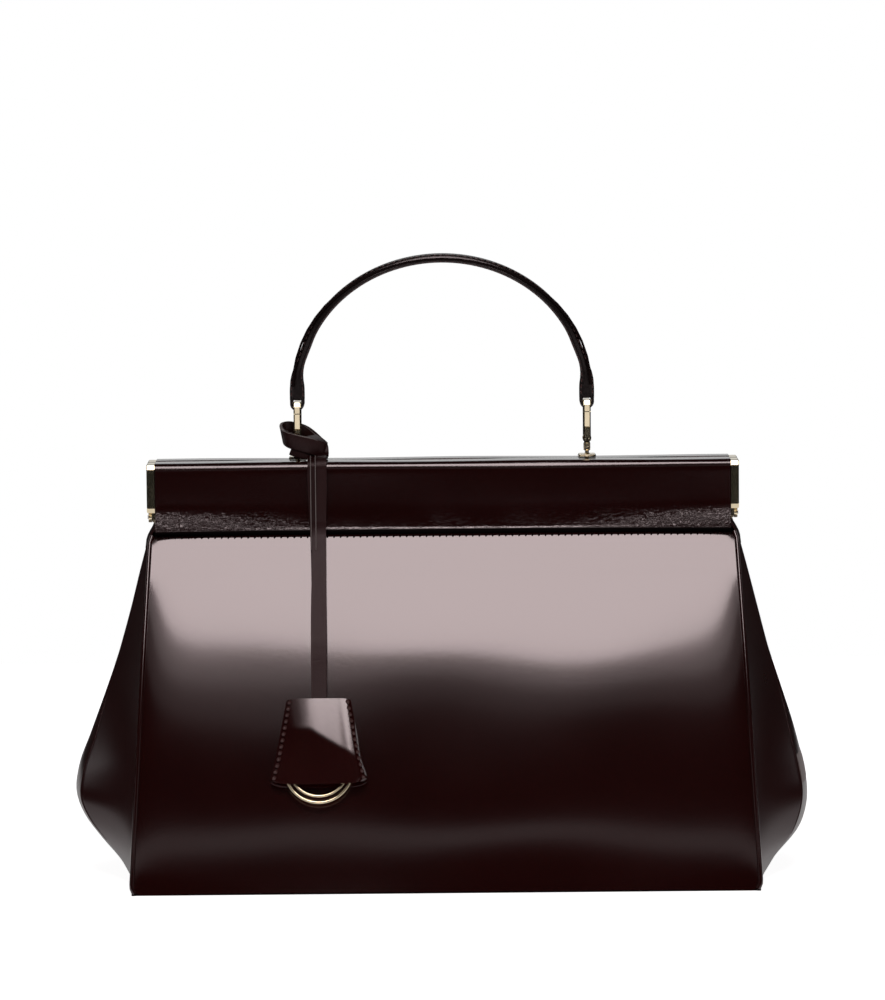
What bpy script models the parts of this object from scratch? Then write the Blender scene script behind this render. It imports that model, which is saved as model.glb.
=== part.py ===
"""A structured top handle bag on a hinged frame, with a key bell on a looped strap.

Metres, +Z up. The origin is the middle of the foot, and the front of the bag faces -Y.
"""
import math

import bmesh
import bpy
import numpy as np
from mathutils import Vector

# Body: the leather shell
LEATHER = 0.0020
SEAM_GAP = 0.0003
FIT = 0.0003
BASE_LENGTH = 0.3216
BASE_DEPTH = 0.1660
MOUTH_LENGTH = 0.3045
MOUTH_DEPTH = 0.0270
PANEL_HEIGHT = 0.1768
PANEL_CROWN = 0.0050
EDGE_SKIVE = 0.0018
GUSSET_SPREAD = 0.0312
GUSSET_TOP_SPREAD = 0.0010
CREASE_RELIEF = 0.0042
CREASE_SPREAD = 0.0500
CREASE_TOP_SPREAD = 0.0016
FOOT_CURL = 0.0060
FOOT_CURL_HEIGHT = 0.0100
BASE_BOARD = 0.0020
LINING = 0.0010
LINING_CLEAR = 0.0008
LINING_DROP = 0.0115

# Shares of PANEL_HEIGHT at which the rows of the shell lie, foot to mouth
ROW_SHARES = (0.0, 0.020, 0.057, 0.12, 0.18, 0.24, 0.31, 0.41, 0.53, 0.66, 0.78, 0.90, 1.0)
# How far out the gusset's middle stands, as shares of GUSSET_SPREAD, row by row
SPREAD_SHARES = (0.0, 0.21, 0.39, 0.70, 0.91, 1.0, 0.955, 0.82, 0.625, 0.42, 0.275, 0.13, 0.0)
# How deep the pressed creases sit below that middle, as shares of CREASE_RELIEF
RELIEF_SHARES = (0.0, 0.15, 0.35, 0.55, 0.70, 0.80, 0.95, 0.75, 0.25, 0.0, 0.0, 0.0, 0.0)
# How far the two creases lie from the centre plane, as shares of CREASE_SPREAD
FORK_SHARES = (1.0, 0.96, 0.90, 0.80, 0.72, 0.64, 0.52, 0.30, 0.06, 0.0, 0.0, 0.0, 0.0)
PANEL_SPANS = 6
GUSSET_SPANS = 8
FORK_LIMIT_SHARE = 2 / 3
SOFT_RELIEF_SHARE = 1 / 4
FOOT_SEAM = 0.00045

# Frame: two covered rails that meet over the mouth
SUNK_SEAM = 0.0025
SUNK_DEPTH = 0.0008
BAND_HEIGHT = 0.0353
FRAME_LENGTH = 0.2988
MEETING_GAP = 0.0008
COVER = 0.0015
COVER_ROUNDING = 0.0026
INNER_LEG = 0.0240
RAIL_HEIGHT = 0.0230
RAIL_CHAMFER = 0.0010
END_PLATE = 0.0041
END_PLATE_PROUD = 0.0004
END_PLATE_DROP = 0.0006
END_PLATE_RISE = 0.0022
PLATE_BEVEL = 0.0005
HINGE_RISE = 0.0060
GUSSET_DROP = 0.0120
KNUCKLE_RADIUS = 0.0028
KNUCKLE_FROM = 120
KNUCKLE_TO = 380
PIN_RADIUS = 0.0010
PIN_FIT = 0.00025
MAGNET_RADIUS = 0.0050
MAGNET_DEPTH = 0.0030
MAGNET_SPACING = 0.1900

# Handle and its links
LINK_SPACING = 0.1510
LINK_HEIGHT = 0.0214
LINK_DEPTH = 0.0172
LINK_BAR = 0.0024
LINK_WIDTH = 0.0038
LINK_PIN_RADIUS = 0.0011
LINK_CHAMFER = 0.0010
POST_RADIUS = 0.0016
NECK_RADIUS = 0.0010
NECK_HEIGHT = 0.0018
BARREL_HEIGHT = 0.0042
EYE_SIZE = 0.0046
EYE_DEPTH = 0.0040
SHANK_RADIUS = 0.0012
SHANK_LENGTH = 0.0090
FIXING_PLATE = 0.0010
FIXING_PLATE_LENGTH = 0.0094
FIXING_PLATE_DEPTH = 0.0100
FIXING_PLATE_BEVEL = 0.0003
HANDLE_WIDTH = 0.0116
HANDLE_OUTSET = 0.0023
HANDLE_RISE = 0.0664
HANDLE_NECK = 0.0093
HANDLE_OUTER = 0.0018
HANDLE_CORE = 0.0012
HANDLE_UNDER = 0.0014
HANDLE_JOINT = 0.00005
HANDLE_SPANS = 28
END_LOOP_WIDTH = 0.0080
END_LOOP_WALL = 0.0014
END_LOOP_PLAY = 0.0007

# Strap and key bell
STRAP_WIDTH = 0.0070
STRAP = 0.0012
STRAP_INSET = 0.0108
STRAP_SPLAY = 0.0020
STRAP_CLEAR = 0.0006
SHOULDER_DROP = 0.0080
FOLD_RUN = 0.0060
KNOT_BAND = 0.0072
KNOT_THICKNESS = 0.0015
KNOT_STEPS = 28
KNOT_LEFT = 0.0092
KNOT_RIGHT = 0.0142
KNOT_FRONT = 0.0112
KNOT_BACK = 0.0118
KNOT_LEFT_RISE = 0.0142
KNOT_BACK_RISE = 0.0168
FOLD_STEPS = 6
BELL_TOP = 0.0983
BELL_HEIGHT = 0.0410
BELL_TRAVEL = 0.0280
BELL_TOP_WIDTH = 0.0325
BELL_BOTTOM_WIDTH = 0.0495
BELL_LEAF = 0.0015
BELL_BULGE = 0.0040
BELL_SPANS = 10
BELL_ROWS = 5
BELL_BULGE_POWER = 4
RING_RADIUS = 0.0171
RING_WIRE = 0.0012
RING_DROP = 0.0106
RING_SPANS = 36
RING_SIDES = 8
RING_LOOP = 0.0050
RING_LOOP_WALL = 0.0012
RING_PLAY = 0.0010

CUT_OVERRUN = 0.0020
ROUND_STEPS = 20
POST_STEPS = 12
COVER_STEPS = 4
COVER_INNER_STEPS = 2
KNUCKLE_STEPS = 16
LOOP_STEPS = 10
SMOOTH_ANGLE = math.radians(35)

# Heights and places that follow from the sizes above
FRAME_FOOT = PANEL_HEIGHT + SUNK_SEAM
FRAME_HEIGHT = FRAME_FOOT + BAND_HEIGHT
HINGE_HEIGHT = FRAME_FOOT + HINGE_RISE
END_PLATE_FOOT = HINGE_HEIGHT + END_PLATE_RISE
GUSSET_HEIGHT = HINGE_HEIGHT - GUSSET_DROP
LINING_HEIGHT = PANEL_HEIGHT - LINING_DROP
HANDLE_Y = MEETING_GAP / 2 + (MOUTH_DEPTH - MEETING_GAP) / 4
PIN_Z = FRAME_HEIGHT + FIT + FIXING_PLATE + NECK_HEIGHT + BARREL_HEIGHT + EYE_SIZE / 2
LINK_TOP_Z = PIN_Z - LINK_PIN_RADIUS + LINK_HEIGHT - LINK_BAR / 2
HANDLE_SPRING = LINK_TOP_Z + HANDLE_NECK
HANDLE_HALF_SPAN = LINK_SPACING / 2 + HANDLE_OUTSET
STRAP_X = STRAP_INSET - LINK_SPACING / 2

BURGUNDY = (0.055, 0.012, 0.016, 1)
BLACK_BROWN = (0.018, 0.012, 0.012, 1)
GOLD = (0.83, 0.69, 0.44, 1)
STEEL = (0.55, 0.55, 0.56, 1)
SUEDE = (0.16, 0.10, 0.09, 1)
BOARD = (0.30, 0.24, 0.18, 1)


def clear_scene():
    for obj in list(bpy.data.objects):
        bpy.data.objects.remove(obj, do_unlink=True)


def material(name, colour, roughness, metallic=0.0):
    made = bpy.data.materials.new(name)
    made.use_nodes = True
    shader = made.node_tree.nodes["Principled BSDF"]
    shader.inputs["Base Color"].default_value = colour
    shader.inputs["Roughness"].default_value = roughness
    shader.inputs["Metallic"].default_value = metallic
    return made


def mesh_object(name, points, faces, finish, origin=(0, 0, 0)):
    """An object whose mesh has these world points, with its own origin on a joint's axis."""
    origin = Vector(origin)
    mesh = bpy.data.meshes.new(name)
    mesh.from_pydata([Vector(point) - origin for point in points], [], faces)
    builder = bmesh.new()
    builder.from_mesh(mesh)
    bmesh.ops.recalc_face_normals(builder, faces=builder.faces)
    builder.to_mesh(mesh)
    builder.free()
    mesh.shade_smooth()
    mesh.set_sharp_from_angle(angle=SMOOTH_ANGLE)
    mesh.materials.append(material(name + "_finish", *finish))
    obj = bpy.data.objects.new(name, mesh)
    obj.location = origin
    bpy.context.scene.collection.objects.link(obj)
    return obj


def box(name, low, high, finish, bevel=0.0, origin=(0, 0, 0)):
    points = [(x, y, z) for x in (low[0], high[0]) for y in (low[1], high[1]) for z in (low[2], high[2])]
    faces = [(0, 1, 3, 2), (4, 6, 7, 5), (0, 4, 5, 1), (2, 3, 7, 6), (0, 2, 6, 4), (1, 5, 7, 3)]
    obj = mesh_object(name, points, faces, finish, origin)
    if bevel:
        add_bevel(obj, bevel, 1)
    return obj


def add_bevel(obj, width, segments):
    rounding = obj.modifiers.new("Edges", "BEVEL")
    rounding.width = width
    rounding.segments = segments
    rounding.limit_method = "ANGLE"
    return rounding


def prism(name, outline, low, high, axis, finish, origin=(0, 0, 0)):
    """A closed outline in the plane across an axis, drawn out along it."""
    def place(pair, along):
        values = list(pair)
        values.insert(axis, along)
        return tuple(values)

    count = len(outline)
    points = [place(pair, low) for pair in outline] + [place(pair, high) for pair in outline]
    faces = [(i, (i + 1) % count, count + (i + 1) % count, count + i) for i in range(count)]
    faces.append(tuple(reversed(range(count))))
    faces.append(tuple(range(count, 2 * count)))
    return mesh_object(name, points, faces, finish, origin)


def circle(centre, radius, steps=ROUND_STEPS):
    return arc(centre, radius, 0, 360, steps)[:-1]


def arc(centre, radius, start, stop, steps):
    angles = [math.radians(start + (stop - start) * i / steps) for i in range(steps + 1)]
    return [(centre[0] + radius * math.cos(a), centre[1] + radius * math.sin(a)) for a in angles]


def cut(obj, cutter):
    cutter.hide_render = True
    cutter.display_type = "WIRE"
    cutting = obj.modifiers.new("Cut " + cutter.name, "BOOLEAN")
    cutting.operation = "DIFFERENCE"
    cutting.object = cutter


def join(obj, other):
    other.hide_render = True
    other.display_type = "WIRE"
    joining = obj.modifiers.new("Join " + other.name, "BOOLEAN")
    joining.operation = "UNION"
    joining.object = other


def grid_solid(name, outer, inner, finish, origin=(0, 0, 0)):
    """A closed skin between two matching grids of points."""
    rows, columns = outer.shape[:2]
    points = [tuple(p) for p in outer.reshape(-1, 3)] + [tuple(p) for p in inner.reshape(-1, 3)]
    far = rows * columns
    faces = []
    for r in range(rows - 1):
        for c in range(columns - 1):
            a = r * columns + c
            b = a + columns
            faces += [(a, a + 1, b + 1), (a, b + 1, b)]
            faces += [(far + a, far + b + 1, far + a + 1), (far + a, far + b, far + b + 1)]
    for c in range(columns - 1):
        for a in (c, (rows - 1) * columns + c):
            faces.append((a, far + a, far + a + 1, a + 1))
    for r in range(rows - 1):
        for a in (r * columns, (r + 1) * columns - 1):
            faces.append((a, a + columns, far + a + columns, far + a))
    return mesh_object(name, points, faces, finish, origin)


# The shell as one grid of rows and columns

def panel_y(height):
    """How far the front panel's outer face lies from the centre plane at a height."""
    share = min(max(height / PANEL_HEIGHT, 0), 1)
    foot = BASE_DEPTH / 2
    top = MOUTH_DEPTH / 2
    straight = foot + (top - foot) * share
    crown = PANEL_CROWN * 4 * share * (1 - share)
    curl_share = max(0, 1 - height / FOOT_CURL_HEIGHT)
    return straight + crown - FOOT_CURL * curl_share ** 2


def panel_x(height):
    share = min(max(height / PANEL_HEIGHT, 0), 1)
    return BASE_LENGTH / 2 + (MOUTH_LENGTH - BASE_LENGTH) / 2 * share


def gusset_columns(row, height):
    """Half of one gusset's section, seam to centre, as (x, y) pairs."""
    seam = (panel_x(height), panel_y(height))
    out = SPREAD_SHARES[row] * GUSSET_SPREAD
    top_share = height / PANEL_HEIGHT
    middle = panel_x(height) + out + GUSSET_TOP_SPREAD * top_share
    fork = FORK_SHARES[row] * CREASE_SPREAD + CREASE_TOP_SPREAD
    fork = min(fork, seam[1] * FORK_LIMIT_SHARE)
    relief = RELIEF_SHARES[row] * CREASE_RELIEF
    crease = (middle - relief, fork)
    between = ((seam[0] + crease[0]) / 2, (seam[1] + crease[1]) / 2)
    soft = (middle - relief * SOFT_RELIEF_SHARE, fork / 2)
    return [seam, between, crease, soft, (middle, 0)]


def shell_grid():
    """Rows from foot to mouth. Columns run round the bag from the front left seam."""
    rows = []
    for row, row_share in enumerate(ROW_SHARES):
        height = row_share * PANEL_HEIGHT
        half = gusset_columns(row, height)
        front = [
            (-panel_x(height) + 2 * panel_x(height) * i / PANEL_SPANS, -panel_y(height))
            for i in range(PANEL_SPANS + 1)
        ]
        right = [(x, -y) for x, y in half[1:]] + [(x, y) for x, y in half[-2::-1]]
        rear = [(-x, -y) for x, y in front[1:]]
        left = [(-x, y) for x, y in half[1:]] + [(-x, -y) for x, y in half[-2:0:-1]]
        rows.append([(x, y, height) for x, y in front + right + rear + left])
    return np.array(rows)


def shell_normals(grid):
    """Outward normals, mitred where the panels meet and where the foot turns under."""
    along = np.roll(grid, -1, axis=1) - grid
    before = grid - np.roll(grid, 1, axis=1)
    along /= np.linalg.norm(along, axis=2, keepdims=True)
    before /= np.linalg.norm(before, axis=2, keepdims=True)
    round_bag = along + before
    up = np.gradient(grid, axis=0)
    normals = np.cross(round_bag, up)
    normals /= np.linalg.norm(normals, axis=2, keepdims=True)
    normals[0] = normals[0] * (1, 1, 0)
    normals[0] /= np.linalg.norm(normals[0], axis=1, keepdims=True)
    normals[0, :, 2] = -1
    return normals


def eased(points, gap):
    """The same columns with both end columns drawn in by a gap."""
    moved = points.copy()
    for end, neighbour in ((0, 1), (-1, -2)):
        step = points[:, neighbour] - points[:, end]
        length = np.linalg.norm(step, axis=1, keepdims=True)
        moved[:, end] = points[:, end] + step / length * gap
    return moved


def shell_panel(name, grid, normals, columns, top_height, finish, sunk=0.0):
    """One piece of the shell. A sunk strip carries its top edge up to the frame's foot."""
    outer = eased(grid[:, columns], SEAM_GAP / 2)
    inner = eased((grid - normals * LEATHER)[:, columns], SEAM_GAP / 2)
    for face in (outer, inner):
        face[-1, :, 2] = top_height
    if sunk:
        step = outer[-1:] + (inner[-1:] - outer[-1:]) * (sunk / LEATHER)
        outer = np.concatenate([outer, step, step])
        inner = np.concatenate([inner, inner[-1:], inner[-1:]])
        inner[-3:-1, :, 2] -= EDGE_SKIVE / 2
        for face in (outer, inner):
            face[-1, :, 2] = FRAME_FOOT - FIT
    else:
        inner[-1, :, 2] -= EDGE_SKIVE
    return grid_solid(name, outer, inner, finish)


def make_body():
    grid = shell_grid()
    normals = shell_normals(grid)
    count = grid.shape[1]
    side = GUSSET_SPANS
    leather = (BURGUNDY, 0.15)
    front = list(range(PANEL_SPANS + 1))
    right = list(range(PANEL_SPANS, PANEL_SPANS + side + 1))
    rear = list(range(PANEL_SPANS + side, 2 * PANEL_SPANS + side + 1))
    left = [column % count for column in range(2 * PANEL_SPANS + side, count + 1)]
    shell_panel("front_panel", grid, normals, front, PANEL_HEIGHT, leather, SUNK_DEPTH)
    shell_panel("rear_panel", grid, normals, rear, PANEL_HEIGHT, leather)
    shell_panel("gusset_right", grid, normals, right, GUSSET_HEIGHT, leather)
    shell_panel("gusset_left", grid, normals, left, GUSSET_HEIGHT, leather)

    def foot_slab(name, low, high, depth, finish):
        """A flat slab inside the foot, mitred to the panels' turned edges."""
        level = grid[0] - normals[0] * (1, 1, 0) * depth
        shrink = level - normals[0] * (1, 1, 0) * (high - low)
        points = [(x, y, low) for x, y, _ in level] + [(x, y, high) for x, y, _ in shrink]
        faces = [(i, (i + 1) % count, count + (i + 1) % count, count + i) for i in range(count)]
        faces.append(tuple(reversed(range(count))))
        faces.append(tuple(range(count, 2 * count)))
        mesh_object(name, points, faces, finish)

    foot_slab("base_panel", 0, LEATHER, FOOT_SEAM, leather)
    board_low = LEATHER + FIT
    foot_slab("base_board", board_low, board_low + BASE_BOARD, board_low + FIT * 2, (BOARD, 0.8))
    make_lining(grid, normals, board_low + BASE_BOARD + FIT)


def make_lining(grid, normals, floor):
    """An open sack just inside the shell and the board."""
    depth = LEATHER + LINING_CLEAR
    outer_all = grid - normals * depth
    inner_all = grid - normals * (depth + LINING)
    rows = [r for r, share in enumerate(ROW_SHARES) if floor * 2 < share * PANEL_HEIGHT < LINING_HEIGHT]
    count = grid.shape[1]

    def level(source, height, below, above):
        part = (height - source[below, :, 2]) / (source[above, :, 2] - source[below, :, 2])
        return source[below] + (source[above] - source[below]) * part[:, None]

    rings = [level(outer_all, floor, rows[0] - 1, rows[0])]
    rings += [outer_all[r] for r in rows]
    rings += [level(outer_all, LINING_HEIGHT, rows[-1], rows[-1] + 1)]
    rings += [level(inner_all, LINING_HEIGHT, rows[-1], rows[-1] + 1)]
    rings += [inner_all[r] for r in reversed(rows)]
    rings += [level(inner_all, floor + LINING, rows[0] - 1, rows[0])]
    points = [tuple(p) for ring in rings for p in ring]
    faces = []
    for k in range(len(rings) - 1):
        for i in range(count):
            a = k * count + i
            b = k * count + (i + 1) % count
            faces += [(a, b, b + count), (a, b + count, a + count)]
    faces.append(tuple(reversed(range(count))))
    last = (len(rings) - 1) * count
    faces.append(tuple(range(last, last + count)))
    mesh_object("lining", points, faces, (SUEDE, 0.9))


# The frame halves

HINGE = (0, 0, HINGE_HEIGHT)


def cover_outline(sign):
    """The cover's section: up the meeting face, over the top and down the outer face."""
    face = MOUTH_DEPTH / 2
    meet = MEETING_GAP / 2
    corner = (face - COVER_ROUNDING, FRAME_HEIGHT - COVER_ROUNDING)
    outer = [(meet, FRAME_HEIGHT - INNER_LEG), (meet, FRAME_HEIGHT)]
    outer += arc(corner, COVER_ROUNDING, 90, 0, COVER_STEPS)
    outer += [(face, FRAME_FOOT), (face - COVER, FRAME_FOOT)]
    inner_rounding = COVER_ROUNDING - COVER
    inner = arc(corner, inner_rounding, 0, 90, COVER_INNER_STEPS)
    inner += [(meet + COVER, FRAME_HEIGHT - COVER), (meet + COVER, FRAME_HEIGHT - INNER_LEG)]
    return [(sign * y, z) for y, z in outer + inner]


def make_frame_half(side, sign):
    """One covered rail with its end plates and magnets. sign is -1 at the front, +1 at the rear."""
    half = FRAME_LENGTH / 2
    cover = prism(side + "_cover", cover_outline(sign), -half, half, 0, (BURGUNDY, 0.2), HINGE)
    inner_face = MEETING_GAP / 2 + COVER + FIT
    outer_face = MOUTH_DEPTH / 2 - COVER - FIT
    rail_top = FRAME_HEIGHT - COVER - FIT
    rail_low = rail_top - RAIL_HEIGHT
    section = [
        (inner_face, rail_low), (inner_face, rail_top), (outer_face - RAIL_CHAMFER, rail_top),
        (outer_face, rail_top - RAIL_CHAMFER), (outer_face, rail_low),
    ]
    section = [(sign * y, z) for y, z in section]
    rail = prism(side + "_rail", section, -half, half, 0, (STEEL, 0.35, 1.0), HINGE)
    magnet_z = rail_top - RAIL_HEIGHT / 2
    for word, place in (("left", -1), ("right", 1)):
        x = place * MAGNET_SPACING / 2
        pocket_start = inner_face - CUT_OVERRUN
        pocket_end = inner_face + MAGNET_DEPTH + FIT
        ends = sorted((sign * pocket_start, sign * pocket_end))
        pocket_round = circle((x, magnet_z), MAGNET_RADIUS + FIT)
        cut(rail, prism("cut_magnet_" + side + word, pocket_round, *ends, 1, (STEEL, 0.5)))
        ends = sorted((sign * inner_face, sign * (inner_face + MAGNET_DEPTH)))
        magnet_round = circle((x, magnet_z), MAGNET_RADIUS)
        prism(side + "_magnet_" + word, magnet_round, *ends, 1, (STEEL, 0.3, 1.0), HINGE)
        make_end_plate(side, word, sign, place)
    return cover, rail


def make_end_plate(side, word, sign, place):
    """A gold plate on the frame's end, with one half of the hinge at its foot."""
    start = FRAME_LENGTH / 2 + FIT
    middle = start + END_PLATE / 2
    stop = start + END_PLATE
    meet = MEETING_GAP / 2
    face = MOUTH_DEPTH / 2 + END_PLATE_PROUD
    low = [start, meet, END_PLATE_FOOT]
    high = [stop, face, FRAME_HEIGHT - END_PLATE_DROP]
    xs = sorted((place * low[0], place * high[0]))
    ys = sorted((sign * low[1], sign * high[1]))
    plate = box(
        side + "_end_plate_" + word, (xs[0], ys[0], low[2]), (xs[1], ys[1], high[2]),
        (GOLD, 0.12, 1.0), PLATE_BEVEL, HINGE,
    )
    centre = (0, HINGE_HEIGHT)
    if sign < 0:
        own = (start, middle - FIT / 2)
        relief_ends = (middle - FIT / 2, stop + CUT_OVERRUN)
    else:
        own = (middle + FIT / 2, stop)
        relief_ends = (start - CUT_OVERRUN, middle + FIT / 2)
    relief_ends = sorted(place * x for x in relief_ends)
    relief_round = circle(centre, KNUCKLE_RADIUS + FIT)
    cut(plate, prism("cut_relief_" + side + word, relief_round, *relief_ends, 0, (GOLD, 0.2)))
    own_ends = sorted((place * own[0], place * own[1]))
    join(plate, prism("join_knuckle_" + side + word, knuckle_outline(sign), *own_ends, 0, (GOLD, 0.2)))
    bore_ends = sorted((place * (start - CUT_OVERRUN), place * (stop + CUT_OVERRUN)))
    bore_round = circle(centre, PIN_RADIUS + PIN_FIT)
    cut(plate, prism("cut_bore_" + side + word, bore_round, *bore_ends, 0, (GOLD, 0.2)))


def knuckle_outline(sign):
    """A round eye on the pin, with a neck up into the plate's foot."""
    neck_top = END_PLATE_FOOT + PLATE_BEVEL * 2
    eye = arc((0, HINGE_HEIGHT), KNUCKLE_RADIUS, KNUCKLE_FROM, KNUCKLE_TO, KNUCKLE_STEPS)
    far = MOUTH_DEPTH / 4
    near = MEETING_GAP / 2 + FIT
    outline = eye + [(far, END_PLATE_FOOT + PLATE_BEVEL), (far, neck_top), (near, neck_top)]
    return [(sign * y, z) for y, z in outline]


def make_frame():
    make_frame_half("front", -1)
    rear_cover, rear_rail = make_frame_half("rear", 1)
    start = FRAME_LENGTH / 2 + FIT
    for word, place in (("left", -1), ("right", 1)):
        ends = sorted((place * start, place * (start + END_PLATE)))
        pin_round = circle((0, HINGE_HEIGHT), PIN_RADIUS, POST_STEPS)
        prism("hinge_pin_" + word, pin_round, *ends, 0, (STEEL, 0.25, 1.0), HINGE)
    return rear_cover, rear_rail


# Handle, links and posts

def make_posts(rear_cover, rear_rail):
    for word, place in (("left", -1), ("right", 1)):
        x = place * LINK_SPACING / 2
        floor = FRAME_HEIGHT + FIT
        half = FIXING_PLATE_LENGTH / 2
        depth = FIXING_PLATE_DEPTH / 2
        low = (x - half, HANDLE_Y - depth, floor)
        high = (x + half, HANDLE_Y + depth, floor + FIXING_PLATE)
        plate = box("fixing_plate_" + word, low, high, (GOLD, 0.15, 1.0), FIXING_PLATE_BEVEL, HINGE)
        hole = circle((x, HANDLE_Y), SHANK_RADIUS + FIT)
        bottom = FRAME_HEIGHT - SHANK_LENGTH
        top = floor + FIXING_PLATE
        for name, piece in (("plate", plate), ("cover", rear_cover), ("rail", rear_rail)):
            cutter_name = "cut_shank_" + name + word
            cut(piece, prism(cutter_name, hole, bottom - FIT, top + CUT_OVERRUN, 2, (GOLD, 0.2)))
        neck_top = top + NECK_HEIGHT
        barrel_top = neck_top + BARREL_HEIGHT
        radii = [
            (SHANK_RADIUS, bottom), (SHANK_RADIUS, top - FIT), (NECK_RADIUS, top),
            (NECK_RADIUS, neck_top), (POST_RADIUS, neck_top + FIT), (POST_RADIUS, barrel_top),
        ]
        post = turned("post_" + word, (x, HANDLE_Y), radii, (GOLD, 0.15, 1.0))
        eye_half = EYE_SIZE / 2
        eye_low = (x - eye_half, HANDLE_Y - EYE_DEPTH / 2, barrel_top - FIT)
        eye_high = (x + eye_half, HANDLE_Y + EYE_DEPTH / 2, barrel_top + EYE_SIZE)
        eye = box("join_eye_" + word, eye_low, eye_high, (GOLD, 0.15, 1.0), LINK_CHAMFER)
        join(post, eye)
        bore_round = circle((x, PIN_Z), LINK_PIN_RADIUS + PIN_FIT)
        bore_ends = (HANDLE_Y - EYE_DEPTH, HANDLE_Y + EYE_DEPTH)
        cut(post, prism("cut_eye_" + word, bore_round, *bore_ends, 1, (GOLD, 0.2)))
        make_link(word, x)


def turned(name, centre, radii, finish):
    """A shape turned about a vertical line, from (radius, height) pairs. It opens with the frame."""
    steps = POST_STEPS
    points = []
    for radius, height in radii:
        points += [(x, y, height) for x, y in circle(centre, radius, steps)]
    faces = []
    for k in range(len(radii) - 1):
        for i in range(steps):
            a = k * steps + i
            b = k * steps + (i + 1) % steps
            faces.append((a, b, b + steps, a + steps))
    faces.append(tuple(reversed(range(steps))))
    last = (len(radii) - 1) * steps
    faces.append(tuple(range(last, last + steps)))
    return mesh_object(name, points, faces, finish, HINGE)


def make_link(word, x):
    """A rectangular link across the frame, closed below by a round pin through the post's eye."""
    low_y = HANDLE_Y - LINK_DEPTH / 2
    high_y = HANDLE_Y + LINK_DEPTH / 2
    low_z = PIN_Z - LINK_PIN_RADIUS
    high_z = low_z + LINK_HEIGHT
    pivot = (x, HANDLE_Y, PIN_Z)
    outline = [
        (low_y, low_z), (low_y + LINK_BAR, low_z), (low_y + LINK_BAR, high_z - LINK_BAR),
        (high_y - LINK_BAR, high_z - LINK_BAR), (high_y - LINK_BAR, low_z), (high_y, low_z),
        (high_y, high_z), (low_y, high_z),
    ]
    half = LINK_WIDTH / 2
    link = prism("link_" + word, outline, x - half, x + half, 0, (GOLD, 0.12, 1.0), pivot)
    add_bevel(link, LINK_CHAMFER / 2, 1)
    inset = LINK_BAR / 2
    bar_round = circle((x, PIN_Z), LINK_PIN_RADIUS, POST_STEPS)
    join(link, prism("join_bar_" + word, bar_round, low_y + inset, high_y - inset, 1, (GOLD, 0.12)))


def handle_point(angle, offset):
    """A point on the arch's centre line, moved out along its normal, as (x, z)."""
    x = HANDLE_HALF_SPAN * math.cos(angle)
    z = HANDLE_RISE * math.sin(angle)
    normal = Vector((HANDLE_RISE * math.cos(angle), HANDLE_HALF_SPAN * math.sin(angle))).normalized()
    return x + normal[0] * offset, HANDLE_SPRING + z + normal[1] * offset


def make_handle():
    angles = [math.pi * i / HANDLE_SPANS for i in range(HANDLE_SPANS + 1)]
    total = HANDLE_OUTER + HANDLE_CORE + HANDLE_UNDER + 2 * HANDLE_JOINT
    top = total / 2
    pivot = (0, HANDLE_Y, LINK_TOP_Z)
    low_y = HANDLE_Y - HANDLE_WIDTH / 2
    high_y = HANDLE_Y + HANDLE_WIDTH / 2
    layers = (
        ("handle_top", HANDLE_OUTER, BLACK_BROWN), ("handle_core", HANDLE_CORE, BOARD),
        ("handle_under", HANDLE_UNDER, BLACK_BROWN),
    )
    for name, thickness, colour in layers:
        outer = [handle_point(a, top) for a in angles]
        inner = [handle_point(a, top - thickness) for a in reversed(angles)]
        prism(name, outer + inner, low_y, high_y, 1, (colour, 0.3), pivot)
        top -= thickness + HANDLE_JOINT
    for word, place in (("left", -1), ("right", 1)):
        make_end_loop(word, place, low_y, high_y, pivot)


def make_end_loop(word, place, low_y, high_y, pivot):
    """The strap's end turned round the link's top bar."""
    x = place * LINK_SPACING / 2
    half = END_LOOP_WIDTH / 2
    top = HANDLE_SPRING - FIT
    play = END_LOOP_PLAY
    low = LINK_TOP_Z - LINK_BAR / 2 - play - END_LOOP_WALL
    rounding = arc((x, low + half), half, 180, 360, LOOP_STEPS)
    outline = rounding + [(x + half, top), (x - half, top)]
    loop = prism("handle_end_" + word, outline, low_y, high_y, 1, (BLACK_BROWN, 0.3), pivot)
    reach_x = LINK_WIDTH / 2 + play
    reach_z = LINK_BAR / 2 + play
    hole_low = (x - reach_x, low_y - CUT_OVERRUN, LINK_TOP_Z - reach_z)
    hole_high = (x + reach_x, high_y + CUT_OVERRUN, LINK_TOP_Z + reach_z)
    cut(loop, box("cut_end_" + word, hole_low, hole_high, (GOLD, 0.2)))


# Strap, key bell and ring

STRAP_PAIR = 2 * STRAP + FIT
FOLD_CORNER = (-(MOUTH_DEPTH / 2 - COVER_ROUNDING), FRAME_HEIGHT - COVER_ROUNDING)
FOLD_INNER = COVER_ROUNDING + STRAP_CLEAR
FOLD_OUTER = FOLD_INNER + STRAP_PAIR
STRAP_BACK_Y = -(MOUTH_DEPTH / 2 + STRAP_CLEAR)
SHOULDER_Z = FRAME_HEIGHT - SHOULDER_DROP
BELL_LOW = BELL_TOP - BELL_HEIGHT
LEAN = math.atan2(panel_y(BELL_LOW) - panel_y(BELL_TOP), BELL_HEIGHT)


def bell_plane_y(z):
    """The bell hangs flat, on a plane that just clears the panel."""
    middle = (BELL_TOP + BELL_LOW) / 2
    stand_off = BELL_BULGE + BELL_LEAF + STRAP_CLEAR - STRAP - FIT / 2
    return panel_y(middle) + stand_off + (middle - z) * math.tan(LEAN)


def ring_centre():
    z = BELL_LOW - RING_DROP + RING_RADIUS
    return -(bell_plane_y(z) + STRAP + FIT / 2), z


SWING_PIVOT = (STRAP_X, STRAP_BACK_Y - STRAP_PAIR, SHOULDER_Z)


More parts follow.
